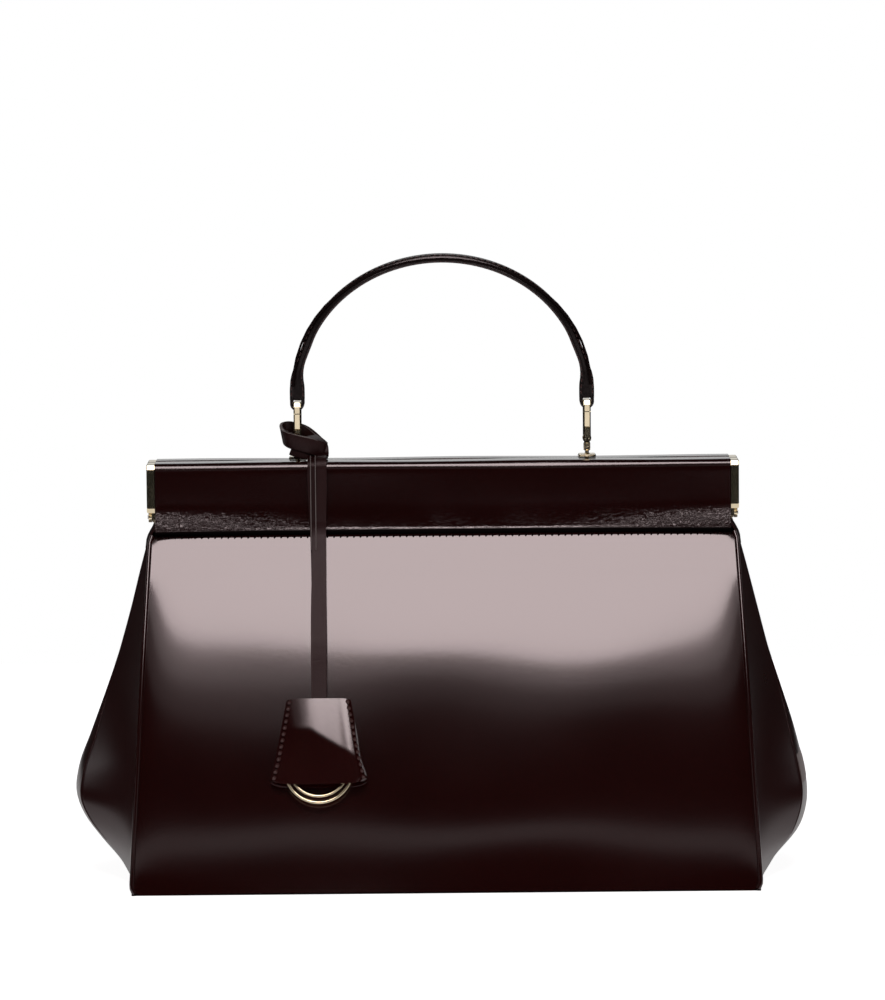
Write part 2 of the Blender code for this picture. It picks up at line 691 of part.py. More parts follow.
def leaf_route():
    """The strap's back face as (y, z) pairs.

    It hangs down the frame, leaves the panel in a straight line, and lies in the bell's plane as far
    up as the bell can slide.
    """
    loop_reach = RING_RADIUS + RING_WIRE + RING_PLAY + RING_LOOP_WALL
    end = ring_centre()[1] + loop_reach * math.cos(LEAN) + FIT * 2
    route = [(STRAP_BACK_Y, SHOULDER_Z - FIT), (STRAP_BACK_Y, FRAME_FOOT)]
    route += [(STRAP_BACK_Y - FIT, PANEL_HEIGHT)]
    slide_top = BELL_TOP + BELL_TRAVEL
    route += [(-bell_plane_y(z), z) for z in (slide_top, BELL_TOP, (BELL_TOP + end) / 2, end)]
    return route


def ribbon(name, route, x, offset, finish, origin):
    """One leaf of the strap along a (y, z) route, offset forward of it."""
    route = np.array(route)
    steps = np.diff(route, axis=0)
    steps /= np.linalg.norm(steps, axis=1, keepdims=True)
    tangent = np.concatenate([steps[:1], steps[:-1] + steps[1:], steps[-1:]])
    tangent /= np.linalg.norm(tangent, axis=1, keepdims=True)
    normal = np.stack([tangent[:, 1], -tangent[:, 0]], axis=1)

    def sheet(distance):
        line = route + normal * distance
        return np.array([[(x + s * STRAP_WIDTH / 2, y, z) for s in (-1, 1)] for y, z in line])

    return grid_solid(name, sheet(offset + STRAP), sheet(offset), finish, origin)


def make_strap():
    leather = (BURGUNDY, 0.3)
    half = STRAP_WIDTH / 2
    fold_start = FOLD_CORNER[0] + FOLD_RUN
    ends = (STRAP_X - half, STRAP_X + half)
    under = [(fold_start, FOLD_CORNER[1] + FOLD_INNER)]
    under += arc(FOLD_CORNER, FOLD_INNER, 90, 180, FOLD_STEPS)
    under += [(STRAP_BACK_Y, SHOULDER_Z)]
    over = [(fold_start, FOLD_CORNER[1] + FOLD_OUTER)]
    over += arc(FOLD_CORNER, FOLD_OUTER, 90, 180, FOLD_STEPS)
    over += [(STRAP_BACK_Y - STRAP_PAIR, SHOULDER_Z)]
    prism("strap_fold", under + over[::-1], *ends, 0, leather)
    route = leaf_route()
    back_x = STRAP_X - STRAP_SPLAY / 2
    front_x = STRAP_X + STRAP_SPLAY / 2
    ribbon("strap_back_leaf", route, back_x, 0, leather, SWING_PIVOT)
    ribbon("strap_front_leaf", route, front_x, STRAP + FIT, leather, SWING_PIVOT)
    make_knot(leather)


def make_knot(leather):
    """The strap's closed loop round the left link, higher at the back and at the left."""
    link_x = -LINK_SPACING / 2
    low_rise = KNOT_BAND / 2 + FIT * 2
    middle_x = link_x + (KNOT_RIGHT - KNOT_LEFT) / 2
    half_x = (KNOT_LEFT + KNOT_RIGHT) / 2
    outer = []
    inner = []
    for i in range(KNOT_STEPS):
        angle = 2 * math.pi * i / KNOT_STEPS
        across = math.cos(angle)
        depth = math.sin(angle)
        y_reach = KNOT_BACK if depth > 0 else KNOT_FRONT
        left_share = (1 - across) / 2
        back_share = max(depth, 0)
        rise = low_rise + (KNOT_LEFT_RISE - low_rise) * left_share
        rise += (KNOT_BACK_RISE - KNOT_LEFT_RISE) * back_share
        centre = Vector((middle_x + half_x * across, HANDLE_Y + y_reach * depth, 0))
        outward = Vector((across / half_x, depth / y_reach, 0)).normalized()
        for ring, distance in ((outer, KNOT_THICKNESS / 2), (inner, -KNOT_THICKNESS / 2)):
            place = centre + outward * distance
            ring.append([
                (place.x, place.y, FRAME_HEIGHT + rise - KNOT_BAND / 2),
                (place.x, place.y, FRAME_HEIGHT + rise + KNOT_BAND / 2),
            ])
    points = [p for pair in outer + inner for p in pair]
    faces = []
    far = 2 * KNOT_STEPS
    for i in range(KNOT_STEPS):
        a = 2 * i
        b = 2 * ((i + 1) % KNOT_STEPS)
        faces.append((a, b, b + 1, a + 1))
        faces.append((far + a, far + a + 1, far + b + 1, far + b))
        faces.append((a, far + a, far + b, b))
        faces.append((a + 1, b + 1, far + b + 1, far + a + 1))
    mesh_object("strap_knot", points, faces, leather, HINGE)


def make_bell():
    """Two leaves that meet at the slanted sides and stand apart over the ring."""
    leather = (BURGUNDY, 0.2)
    middle = (BELL_TOP + BELL_LOW) / 2
    plane_y = -(bell_plane_y(middle) + STRAP + FIT / 2)
    down = Vector((0, -math.sin(LEAN), -math.cos(LEAN)))
    out = Vector((0, -math.cos(LEAN), math.sin(LEAN)))
    centre = Vector((STRAP_X, plane_y, middle))
    length = BELL_HEIGHT / math.cos(LEAN)
    for name, sign in (("bell_front_leaf", 1), ("bell_back_leaf", -1)):
        near = []
        far = []
        for r in range(BELL_ROWS + 1):
            share = r / BELL_ROWS
            half = (BELL_TOP_WIDTH + (BELL_BOTTOM_WIDTH - BELL_TOP_WIDTH) * share) / 2
            near_row = []
            far_row = []
            for c in range(BELL_SPANS + 1):
                across = -1 + 2 * c / BELL_SPANS
                bulge = FIT / 2 + (BELL_BULGE - BELL_LEAF / 2) * (1 - abs(across) ** BELL_BULGE_POWER)
                place = centre + down * (length * (share - 1 / 2)) + Vector((half * across, 0, 0))
                near_row.append(tuple(place + out * sign * bulge))
                far_row.append(tuple(place + out * sign * (bulge + BELL_LEAF)))
            near.append(near_row)
            far.append(far_row)
        grid_solid(name, np.array(far), np.array(near), leather, tuple(centre))


def make_ring():
    """The key ring, and the strap's end loop that it hangs in."""
    y, z = ring_centre()
    centre = Vector((STRAP_X, y, z))
    up = Vector((0, math.sin(LEAN), math.cos(LEAN)))
    out = Vector((0, -math.cos(LEAN), math.sin(LEAN)))
    side = Vector((1, 0, 0))
    pivot = centre + up * RING_RADIUS
    points = []
    for i in range(RING_SPANS):
        angle = 2 * math.pi * i / RING_SPANS
        radial = side * math.sin(angle) + up * math.cos(angle)
        for k in range(RING_SIDES):
            turn = 2 * math.pi * (k + 1 / 2) / RING_SIDES
            reach = RING_RADIUS + RING_WIRE * math.cos(turn)
            points.append(tuple(centre + radial * reach + out * RING_WIRE * math.sin(turn)))
    faces = []
    for i in range(RING_SPANS):
        for k in range(RING_SIDES):
            a = i * RING_SIDES
            b = (i + 1) % RING_SPANS * RING_SIDES
            faces.append((a + k, a + (k + 1) % RING_SIDES, b + (k + 1) % RING_SIDES, b + k))
    mesh_object("key_ring", points, faces, (GOLD, 0.12, 1.0), tuple(pivot))
    half_x = RING_LOOP / 2
    rise = (RING_PLAY - FIT * 2) / 2
    hole = RING_WIRE + RING_PLAY - rise
    hole_out = RING_WIRE + FIT
    middle = pivot + up * rise
    points = []
    for x in (-half_x, half_x):
        for wall in (0, RING_LOOP_WALL):
            for o, u in ((-1, -1), (1, -1), (1, 1), (-1, 1)):
                place = middle + side * x + out * o * (hole_out + wall) + up * u * (hole + wall)
                points.append(tuple(place))
    faces = []
    for k in range(4):
        n = (k + 1) % 4
        faces.append((k, n, 8 + n, 8 + k))
        faces.append((4 + k, 12 + k, 12 + n, 4 + n))
        faces.append((k, 4 + k, 4 + n, n))
        faces.append((8 + k, 8 + n, 12 + n, 12 + k))
    mesh_object("strap_ring_loop", points, faces, (BURGUNDY, 0.3), SWING_PIVOT)


def main():
    clear_scene()
    make_body()
    rear_cover, rear_rail = make_frame()
    make_posts(rear_cover, rear_rail)
    make_handle()
    make_strap()
    make_bell()
    make_ring()


main()
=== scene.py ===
# %% [markdown]
# # A top handle bag in polished leather
# The bag is a soft leather box that hangs from a stiff hinged frame. CAD has already settled every
# solid and every joint. This file puts the look on it: smooth lofted skins, seams, thread, metal
# and light. Each piece says which CAD body it rides, so the bag still opens and swings.

# %% Set up
import math

import bmesh
import bpy
import numpy as np
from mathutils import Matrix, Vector


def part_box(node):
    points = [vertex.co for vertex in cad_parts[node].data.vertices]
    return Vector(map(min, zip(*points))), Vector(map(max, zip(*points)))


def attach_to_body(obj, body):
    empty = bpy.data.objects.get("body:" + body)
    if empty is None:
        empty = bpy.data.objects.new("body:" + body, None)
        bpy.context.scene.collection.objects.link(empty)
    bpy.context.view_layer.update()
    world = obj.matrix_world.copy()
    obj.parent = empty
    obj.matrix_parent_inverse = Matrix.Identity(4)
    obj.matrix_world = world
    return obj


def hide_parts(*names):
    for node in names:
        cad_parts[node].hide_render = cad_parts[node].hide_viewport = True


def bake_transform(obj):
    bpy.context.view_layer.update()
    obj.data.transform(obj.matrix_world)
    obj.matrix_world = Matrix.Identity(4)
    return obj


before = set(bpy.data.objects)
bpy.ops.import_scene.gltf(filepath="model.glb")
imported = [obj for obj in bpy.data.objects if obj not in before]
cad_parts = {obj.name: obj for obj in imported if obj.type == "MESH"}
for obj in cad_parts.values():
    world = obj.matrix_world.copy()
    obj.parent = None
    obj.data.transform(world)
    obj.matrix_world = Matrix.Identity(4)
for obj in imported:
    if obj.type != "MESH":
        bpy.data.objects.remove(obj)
scene = bpy.context.scene
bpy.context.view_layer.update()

# %% [markdown]
# ## Measures
# Every place below comes from the CAD boxes, so a piece stays on what carries it. The few lengths
# that the boxes can't give, such as the depth of a fold, are named here in metres.

# %% Measures from the frame
def corners(node_name):
    low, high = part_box(node_name)
    return np.array(low), np.array(high)


COVER_LOW, COVER_HIGH = corners("front_cover")
PIN_LOW, PIN_HIGH = corners("hinge_pin_right")
LINING_FLOOR, LINING_TOP = (corner[2] for corner in corners("lining"))
GUSSET_TOP = corners("gusset_right")[1][2]
PANEL_TOP = corners("rear_panel")[1][2]

LEATHER = 0.0020
SEAM_HALF = 0.00015
FOOT_X = corners("front_panel")[1][0] + SEAM_HALF
MOUTH_X = 0.15225
FOOT_Y = 0.0830
MOUTH_Y = -COVER_LOW[1]
FRAME_TOP = COVER_HIGH[2]
BAND_FOOT = COVER_LOW[2]
FRAME_X = COVER_HIGH[0]
MEETING_Y = -COVER_HIGH[1]
HINGE_Z = (PIN_LOW[2] + PIN_HIGH[2]) / 2
SIDES = (("left", -1), ("right", 1))
HALVES = (("front", -1), ("rear", 1))
HALF_BODY = {"front": "bag_body", "rear": "rear_frame"}
print("panel top %.4f, band foot %.4f, frame top %.4f" % (PANEL_TOP, BAND_FOOT, FRAME_TOP))


def clamp(share):
    return min(max(share, 0), 1)


def fade(distance, length, power=1):
    """1 at the start, and nothing from the given length on."""
    return max(0, 1 - distance / length) ** power


def smooth_step(share):
    share = clamp(share)
    return share * share * (3 - 2 * share)


# %% [markdown]
# ## The camera and the light
# The photograph was taken from straight in front with a long lens, a little above the bag, so
# the top of the frame just shows. A big soft light stands high in front of the bag. Polished
# leather is a dark mirror, so the place and the edges of that light draw the bright upper half of
# the front. Two weaker glows round it make its edge soft.

# %% Camera
CAMERA_X = -0.0002
CAMERA_DISTANCE = 2.8
CAMERA_HEIGHT = 0.511
AIM_HEIGHT = 0.1929
CAMERA_ROLL = math.radians(0.5)
LENS_MM = 194.4
SENSOR_MM = 36
VIEW_DEPTH = 50


def add_object(name, data, place=(0, 0, 0)):
    made = bpy.data.objects.new(name, data)
    made.location = place
    scene.collection.objects.link(made)
    return made


def look_at(thing, target):
    toward = Vector(target) - thing.location
    thing.rotation_euler = toward.to_track_quat("-Z", "Y").to_euler()


def make_camera():
    data = bpy.data.cameras.new("camera")
    data.lens, data.sensor_width, data.clip_end = LENS_MM, SENSOR_MM, VIEW_DEPTH
    camera = add_object("camera", data, (CAMERA_X, -CAMERA_DISTANCE, CAMERA_HEIGHT))
    look_at(camera, (CAMERA_X, 0, AIM_HEIGHT))
    camera.rotation_euler.rotate_axis("Z", -CAMERA_ROLL)
    scene.camera = camera


make_camera()
scene.view_settings.view_transform = "Standard"

# %% Lights
BAG_MIDDLE = (0, 0, 0.12)
BACK_AIM = (0, 0, 0.21)
WARM = (1, 0.91, 0.90)
NEUTRAL = (1, 1, 1)


def soft_light(name, place, size, power, colour=WARM, shape="RECTANGLE", aim=BAG_MIDDLE):
    light = bpy.data.lights.new(name, "AREA")
    light.shape = shape
    light.size, light.size_y = size
    light.energy = power
    light.color = colour
    lamp = add_object(name, light, place)
    look_at(lamp, aim)
    return lamp


soft_light("key", (0, -1.105, 1.30), (0.72, 0.53), 6.3, shape="ELLIPSE")
soft_light("key glow", (0, -1.20, 1.355), (1.0, 0.676), 1.40, shape="ELLIPSE")
soft_light("wide glow", (0, -1.24, 1.40), (1.4, 0.878), 0.85, shape="ELLIPSE")
soft_light("low card", (0, -1.75, 0.765), (1.6, 0.08), 0.19)
for word, place in SIDES:
    soft_light(word + " card", (place * 1.5, -0.9, 0.30), (0.5, 0.9), 0.8)
    soft_light(word + " side", (place * 1.5, 0.35, 0.95), (0.7, 0.7), 1.6, NEUTRAL)
soft_light("rear key", (0, 1.35, 1.45), (0.9, 0.6), 2.6, NEUTRAL)
back_card = soft_light("back card", (0, 2.0, 0.46), (0.9, 0.5), 0.85, NEUTRAL, aim=BACK_AIM)
back_card.visible_camera = False

# %% [markdown]
# ## Shader groups
# The same polished calf covers nearly the whole bag. Its colour isn't even: the dye is deeper in
# some places, and tiny pores break the mirror a little. One node group makes that, and each
# material sets its own values. A second group makes the creased grain where leather is turned
# over an edge.

# %% Node helpers
WHITE = (1, 1, 1, 1)


def feed(tree, socket, value):
    """Give a socket a plain value, or another node's output."""
    if isinstance(value, bpy.types.NodeSocket):
        tree.links.new(value, socket)
    else:
        socket.default_value = value


def node(tree, kind, *values, **named):
    """A new node. Its inputs are given in order or by name, and its settings by name."""
    made = tree.nodes.new(kind if "Node" in kind else "ShaderNode" + kind)
    settings = [label for label in named if hasattr(made, label)]
    for label in settings:
        setattr(made, label, named.pop(label))
    for label, value in named.items():
        feed(tree, made.inputs[label.replace("_", " ")], value)
    for socket, value in zip(made.inputs, values):
        feed(tree, socket, value)
    return made


def calculate(tree, operation, *values):
    return node(tree, "Math", *values, operation=operation).outputs[0]


def mix_colour(tree, share, first, second):
    made = node(tree, "Mix", data_type="RGBA")
    for place, value in ((0, share), (6, first), (7, second)):
        feed(tree, made.inputs[place], value)
    return made.outputs[2]


def own_place(tree):
    """Where a point lies on its object, which stays put when the bag moves."""
    return node(tree, "TexCoord").outputs["Object"]


def new_group(name, inputs, outputs):
    group = bpy.data.node_groups.new(name, "ShaderNodeTree")
    for label, kind, value in inputs:
        kind = "NodeSocket" + kind
        group.interface.new_socket(label, in_out="INPUT", socket_type=kind).default_value = value
    for label, kind in outputs:
        group.interface.new_socket(label, in_out="OUTPUT", socket_type="NodeSocket" + kind)
    return group, node(group, "NodeGroupInput").outputs, node(group, "NodeGroupOutput").inputs


def make_world():
    """White to the camera, and nearly dark to the leather."""
    world = bpy.data.worlds.new("studio")
    world.use_nodes = True
    tree = world.node_tree
    tree.nodes.clear()
    ray = node(tree, "LightPath").outputs["Is Camera Ray"]
    seen = node(tree, "Background", Color=WHITE, Strength=1.0).outputs[0]
    lit = node(tree, "Background", Color=WHITE, Strength=0.014).outputs[0]
    node(tree, "OutputWorld", Surface=node(tree, "MixShader", ray, lit, seen).outputs[0])
    scene.world = world


make_world()

# %% Leather groups
CLOUD_SCALE = 14.0
PORE_SCALE = 1500.0
GRAIN_SCALE = 420.0
CREASE_STRETCH = (420.0, 420.0, 760.0)
CREASE_MEAN = 0.08
CREASE_START = 0.050
CREASE_FULL = 0.145
CREASE_MIDDLE = 0.16


def make_calf_group():
    group, given, out = new_group(
        "Calf surface",
        [("Colour", "Color", (0.05, 0.01, 0.01, 1)), ("Deep colour", "Color", (0.02, 0.005, 0.005, 1)),
         ("Shine", "Float", 0.2), ("Pores", "Float", 1.0)],
        [("Colour", "Color"), ("Roughness", "Float"), ("Height", "Float")],
    )
    place = own_place(group)
    cloud = node(group, "TexNoise", Vector=place, Scale=CLOUD_SCALE, Detail=3.0, Roughness=0.6)
    pore = node(group, "TexVoronoi", Vector=place, Scale=PORE_SCALE).outputs["Distance"]
    fine = node(group, "TexNoise", Vector=place, Scale=GRAIN_SCALE, Detail=4.0, Roughness=0.6)
    cloud = cloud.outputs["Fac"]
    height = calculate(group, "ADD", calculate(group, "MULTIPLY", pore, 0.35), fine.outputs["Fac"])
    feed(group, out["Colour"], mix_colour(group, cloud, given["Deep colour"], given["Colour"]))
    feed(group, out["Roughness"], calculate(group, "MULTIPLY_ADD", cloud, 0.05, given["Shine"]))
    feed(group, out["Height"], calculate(group, "MULTIPLY", height, given["Pores"]))
    return group


def make_crease_group():
    """Fine ridges below the height High, strongest at Low and towards the band's ends."""
    group, given, out = new_group(
        "Turned edge creases", [("Low", "Float", 0.178), ("High", "Float", 0.19)], [("Height", "Float")],
    )
    place = own_place(group)
    x, _, z = node(group, "SeparateXYZ", place).outputs
    reach = node(
        group, "MapRange", interpolation_type="SMOOTHSTEP", Value=z, From_Max=given["Low"],
        From_Min=given["High"],
    ).outputs[0]
    side = node(
        group, "MapRange", interpolation_type="SMOOTHSTEP", Value=calculate(group, "ABSOLUTE", x),
        From_Min=CREASE_START, From_Max=CREASE_FULL, To_Min=CREASE_MIDDLE,
    ).outputs[0]
    stretch = node(group, "Mapping", Vector=place, Scale=CREASE_STRETCH).outputs[0]
    fold = node(group, "TexNoise", Vector=stretch, Scale=1.0, Detail=2.5, Roughness=0.55, Distortion=1.2)
    ridge = calculate(group, "ABSOLUTE", calculate(group, "SUBTRACT", fold.outputs["Fac"], 0.5))
    ridge = calculate(group, "SUBTRACT", ridge, CREASE_MEAN)
    ridge = calculate(group, "MULTIPLY", ridge, reach)
    feed(group, out["Height"], calculate(group, "MULTIPLY", ridge, side))
    return group


CALF = make_calf_group()
CREASES = make_crease_group()
print("shader groups:", CALF.name, "and", CREASES.name)

# %% Leather materials
BURGUNDY = (0.0200, 0.0015, 0.0012, 1)
BURGUNDY_DEEP = (0.0120, 0.0010, 0.0009, 1)
SHEEN_TINT = (1, 0.86, 0.88, 1)
BLACK_BROWN = (0.0080, 0.0045, 0.0042, 1)
BLACK_BROWN_DEEP = (0.0045, 0.0028, 0.0028, 1)
GRAIN_DEPTH = 0.00010
GRAIN_STRENGTH = 0.25
CREASE_STRENGTH = 0.9
CREASE_HEIGHT = 14.0
CREASE_ZONE = (BAND_FOOT - 0.001, BAND_FOOT + 0.0140)
COAT_IOR = 1.5


def new_material(name):
    made = bpy.data.materials.new(name)
    made.use_nodes = True
    return made, made.node_tree


def surface(tree, **values):
    """Feed the inputs of a material's Principled shader by name."""
    for label, value in values.items():
        feed(tree, tree.nodes["Principled BSDF"].inputs[label.replace("_", " ")], value)


def calf(name, colour, deep, shine, pores, gloss, creases=None, mirror=0.5):
    made, tree = new_material(name)
    skin_node = node(tree, "Group", node_tree=CALF, Colour=colour, Deep_colour=deep, Shine=shine, Pores=pores)
    look = skin_node.outputs
    height = look["Height"]
    if creases:
        fold = node(tree, "Group", node_tree=CREASES, Low=creases[0], High=creases[1]).outputs["Height"]
        height = calculate(tree, "ADD", height, calculate(tree, "MULTIPLY", fold, CREASE_HEIGHT))
    strength = CREASE_STRENGTH if creases else GRAIN_STRENGTH
    bump = node(tree, "Bump", Strength=strength, Distance=GRAIN_DEPTH, Height=height).outputs[0]
    if creases:
        surface(tree, Coat_Normal=bump)
    surface(
        tree, Normal=bump, Base_Color=look["Colour"], Roughness=look["Roughness"], Coat_Weight=gloss,
        Coat_Roughness=shine, Coat_IOR=COAT_IOR, Specular_Tint=SHEEN_TINT, Specular_IOR_Level=mirror,
    )
    return made


PANEL_CALF = calf("polished burgundy calf", BURGUNDY, BURGUNDY_DEEP, 0.09, 0.5, 0.6)
SIDE_CALF = calf("burgundy calf on the gussets", BURGUNDY, BURGUNDY_DEEP, 0.26, 0.9, 0.0)
BAND_CALF = calf(
    "polished calf on the frame", (0.0170, 0.0014, 0.0012, 1), (0.0100, 0.0009, 0.0008, 1), 0.12, 0.2,
    0.6, CREASE_ZONE,
)
STRAP_CALF = calf("burgundy strap calf", BURGUNDY, BURGUNDY_DEEP, 0.42, 5.0, 0.0, mirror=0.35)
BELL_CALF = calf(
    "polished calf on the key bell", (0.0300, 0.0024, 0.0019, 1), BURGUNDY_DEEP, 0.10, 0.6, 0.7
)
HANDLE_CALF = calf("black-brown handle calf", BLACK_BROWN, BLACK_BROWN_DEEP, 0.26, 3.0, 0.3)
# Near-black paint on cut edges, the sunk seams and the handle's core. At the foot the same dark is also
# painted shade under the turned edge.
EDGE_PAINT_AND_SHADE = calf(
    "edge paint", (0.0060, 0.0018, 0.0018, 1), (0.0035, 0.0012, 0.0012, 1), 0.6, 0.4, 0.0, mirror=0.1
)
# A pale calf for thin lines on the strap: its light colour is a painted highlight, standing in for edges that
# catch the side light.
PAINTED_EDGE_HIGHLIGHT = calf("pale calf painted as edge highlight", (0.20, 0.17, 0.165, 1), (0.12, 0.10, 0.095, 1), 0.5, 1.0, 0.0)
THREAD = calf(
    "dark waxed thread", (0.075, 0.026, 0.023, 1), (0.040, 0.013, 0.012, 1), 0.32, 2.0, 0.4
)

# %% Metal and cloth
def metal(name, colour, roughness):
    made, tree = new_material(name)
    haze = node(tree, "TexNoise", Vector=own_place(tree), Scale=260.0, Detail=3.0).outputs["Fac"]
    roughness = calculate(tree, "MULTIPLY_ADD", haze, 0.06, roughness)
    surface(tree, Roughness=roughness, Metallic=1.0, Base_Color=colour)
    return made


def cloth(name, colour):
    made, tree = new_material(name)
    nap = node(tree, "TexNoise", Vector=own_place(tree), Scale=700.0, Detail=4.0).outputs["Fac"]
    dark = tuple(value * 0.6 for value in colour[:3]) + (1,)
    bump = node(tree, "Bump", Strength=0.4, Distance=0.0002, Height=nap).outputs[0]
    surface(
        tree, Base_Color=mix_colour(tree, nap, dark, colour), Normal=bump, Roughness=0.9, Sheen_Weight=0.3
    )
    return made


GOLD = metal("pale gold plating", (0.88, 0.76, 0.53, 1), 0.07)
STEEL = metal("plain steel", (0.55, 0.55, 0.56, 1), 0.28)
LINING_SUEDE = cloth("lining suede", (0.11, 0.06, 0.055, 1))
BOARD = cloth("pressed board", (0.25, 0.19, 0.13, 1))

# %% [markdown]
# ## Building helpers
# Most pieces on a bag are one section drawn along a line: a strap, a band, a bar, a piped seam.
# So one function sweeps a section along a path and closes both ends. Another turns a grid of
# points into a skin with a real thickness. Both put the mesh where it belongs and leave the
# object at the origin.

# %% Mesh helpers
SHARP = math.radians(38)
GOLD_SHARP = math.radians(12)
LINK_SHARP = math.radians(5)


def attach(made, body):
    """Ride one body. A pair of bodies with a start and an end point is only baked in place, with no blend."""
    if isinstance(body, str):
        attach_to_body(made, body)
    else:
        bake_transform(made)


def piece(name, shape, finish, body="bag_body", nodes=(), sharp=SHARP):
    """One piece of the look from points and faces. nodes are the CAD nodes that it stands for."""
    name = name.replace(" ", "_")
    points, faces = shape
    mesh = bpy.data.meshes.new(name)
    mesh.from_pydata([tuple(p) for p in points], [], faces)
    work = bmesh.new()
    work.from_mesh(mesh)
    bmesh.ops.recalc_face_normals(work, faces=work.faces)
    work.to_mesh(mesh)
    work.free()
    mesh.shade_smooth()
    mesh.set_sharp_from_angle(angle=sharp)
    mesh.materials.append(finish)
    made = add_object(name, mesh)
    attach(made, body)
    if nodes:
        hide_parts(*nodes)
    return made


def gold_piece(name, shape, body, nodes=(), sharp=SHARP):
    return piece(name, shape, GOLD, body, nodes, sharp)


def unit(vectors):
    return vectors / np.linalg.norm(vectors, axis=-1, keepdims=True)


def loft(rings, closed=False):
    """Points and faces of a closed shape through matching rings, capped if the ends stay apart."""
    total, count = len(rings), len(rings[0])
    points = [p for ring in rings for p in ring]
    faces = [] if closed else [tuple(range(count)), tuple(range((total - 1) * count, total * count))]
    for k in range(total if closed else total - 1):
        after = ((k + 1) % total - k) * count
        for i in range(count):
            a, b = k * count + i, k * count + (i + 1) % count
            faces.append((a, b, b + after, a + after))
    return points, faces


def sweep(path, section, side, closed=False, widths=1.0, depths=1.0):
    """A closed section drawn along a path. side is the way of the section's first axis."""
    path, section, side = (np.array(part, dtype=float) for part in (path, section, side))
    if closed:
        tangent = unit(np.roll(path, -1, axis=0) - np.roll(path, 1, axis=0))
    else:
        tangent = unit(np.gradient(path, axis=0))
    side = unit(np.broadcast_to(side, path.shape))
    side = unit(side - tangent * np.sum(side * tangent, axis=1, keepdims=True))
    normal = np.cross(tangent, side)
    each = np.ones(len(path))
    across = section[:, 0] * (each * widths)[:, None]
    deep = section[:, 1] * (each * depths)[:, None]
    rings = path[:, None] + side[:, None] * across[..., None] + normal[:, None] * deep[..., None]
    return loft(rings, closed)


def rounded_box(width, thickness, rounding, steps=3):
    """A rectangle with round corners, centred, as (across, through) pairs."""
    pairs = []
    for sx, sy, start in ((1, 1, 0), (-1, 1, 90), (-1, -1, 180), (1, -1, 270)):
        cx, cy = sx * (width / 2 - rounding), sy * (thickness / 2 - rounding)
        for i in range(steps + 1):
            angle = math.radians(start + 90 * i / steps)
            pairs.append((cx + rounding * math.cos(angle), cy + rounding * math.sin(angle)))
    return pairs


def bevelled(width, depth, cut):
    """A rectangle with cut corners, centred."""
    a, b = width / 2, depth / 2
    half = [(a - cut, -b), (a, -b + cut), (a, b - cut), (a - cut, b)]
    return half + [(-across, -through) for across, through in half]


def round_section(radius, steps=10):
    angles = [2 * math.pi * i / steps for i in range(steps)]
    return [(radius * math.cos(angle), radius * math.sin(angle)) for angle in angles]


def smooth_path(points, steps=8, closed=False):
    """A curve through all the points (Catmull-Rom)."""
    points = [np.array(p, dtype=float) for p in points]
    if closed:
        points = [points[-1]] + points + points[:2]
    else:
        points = [2 * points[0] - points[1]] + points + [2 * points[-1] - points[-2]]
    line = []
    for k in range(1, len(points) - 2):
        a, b, c, d = points[k - 1:k + 3]
        for i in range(steps):
            t = i / steps
            line.append(((-t + 2 * t * t - t ** 3) * a + (2 - 5 * t * t + 3 * t ** 3) * b
                         + (t + 4 * t * t - 3 * t ** 3) * c + (t ** 3 - t * t) * d) / 2)
    if not closed:
        line.append(points[-2])
    return np.array(line)


def through(places, values):
    """A smooth function through a few values."""
    places, values = np.array(places, dtype=float), np.array(values, dtype=float)
    slopes = np.gradient(values, places)

    def at(place):
        place = np.clip(place, places[0], places[-1])
        k = np.clip(np.searchsorted(places, place, side="right") - 1, 0, len(places) - 2)
        step = places[k + 1] - places[k]
        t = (place - places[k]) / step
        return float(
            (2 * t ** 3 - 3 * t ** 2 + 1) * values[k] + (t ** 3 - 2 * t ** 2 + t) * step * slopes[k]
            + (3 * t ** 2 - 2 * t ** 3) * values[k + 1] + (t ** 3 - t ** 2) * step * slopes[k + 1]
        )

    return at


def skin(rows, thickness, away=(0, 0, PANEL_TOP / 2)):
    """A closed skin behind a grid of points. away is a point on the skin's inner side."""
    outer = np.array(rows)
    normal = unit(np.cross(np.gradient(outer, axis=1), np.gradient(outer, axis=0)))
    high, wide = outer.shape[:2]
    if np.dot(normal[high // 2, wide // 2], outer[high // 2, wide // 2] - np.array(away)) < 0:
        normal = -normal
    inner = outer - normal * thickness
    far = high * wide
    faces = []
    for r in range(high - 1):
        for c in range(wide - 1):
            a = r * wide + c
            quad = (a, a + 1, a + 1 + wide, a + wide)
            faces += [quad, tuple(far + i for i in reversed(quad))]
    rims = [(a, 1) for c in range(wide - 1) for a in (c, far - wide + c)]
    rims += [(a, wide) for r in range(high - 1) for a in (r * wide, (r + 1) * wide - 1)]
    faces += [(a, far + a, far + a + step, a + step) for a, step in rims]
    return np.concatenate([outer.reshape(-1, 3), inner.reshape(-1, 3)]), faces


print("helpers ready")

# %% [markdown]
# ## The shell
# On the real bag one front panel, one rear panel and two gussets are sewn along four piped seams.
# The panels lean in towards the frame. Each gusset swells outwards low down, like a cheek, with
# two pressed creases that run up from the corners and meet near the top. The shell is lofted: a
# section is worked out at every height, and the skin runs through all the sections.

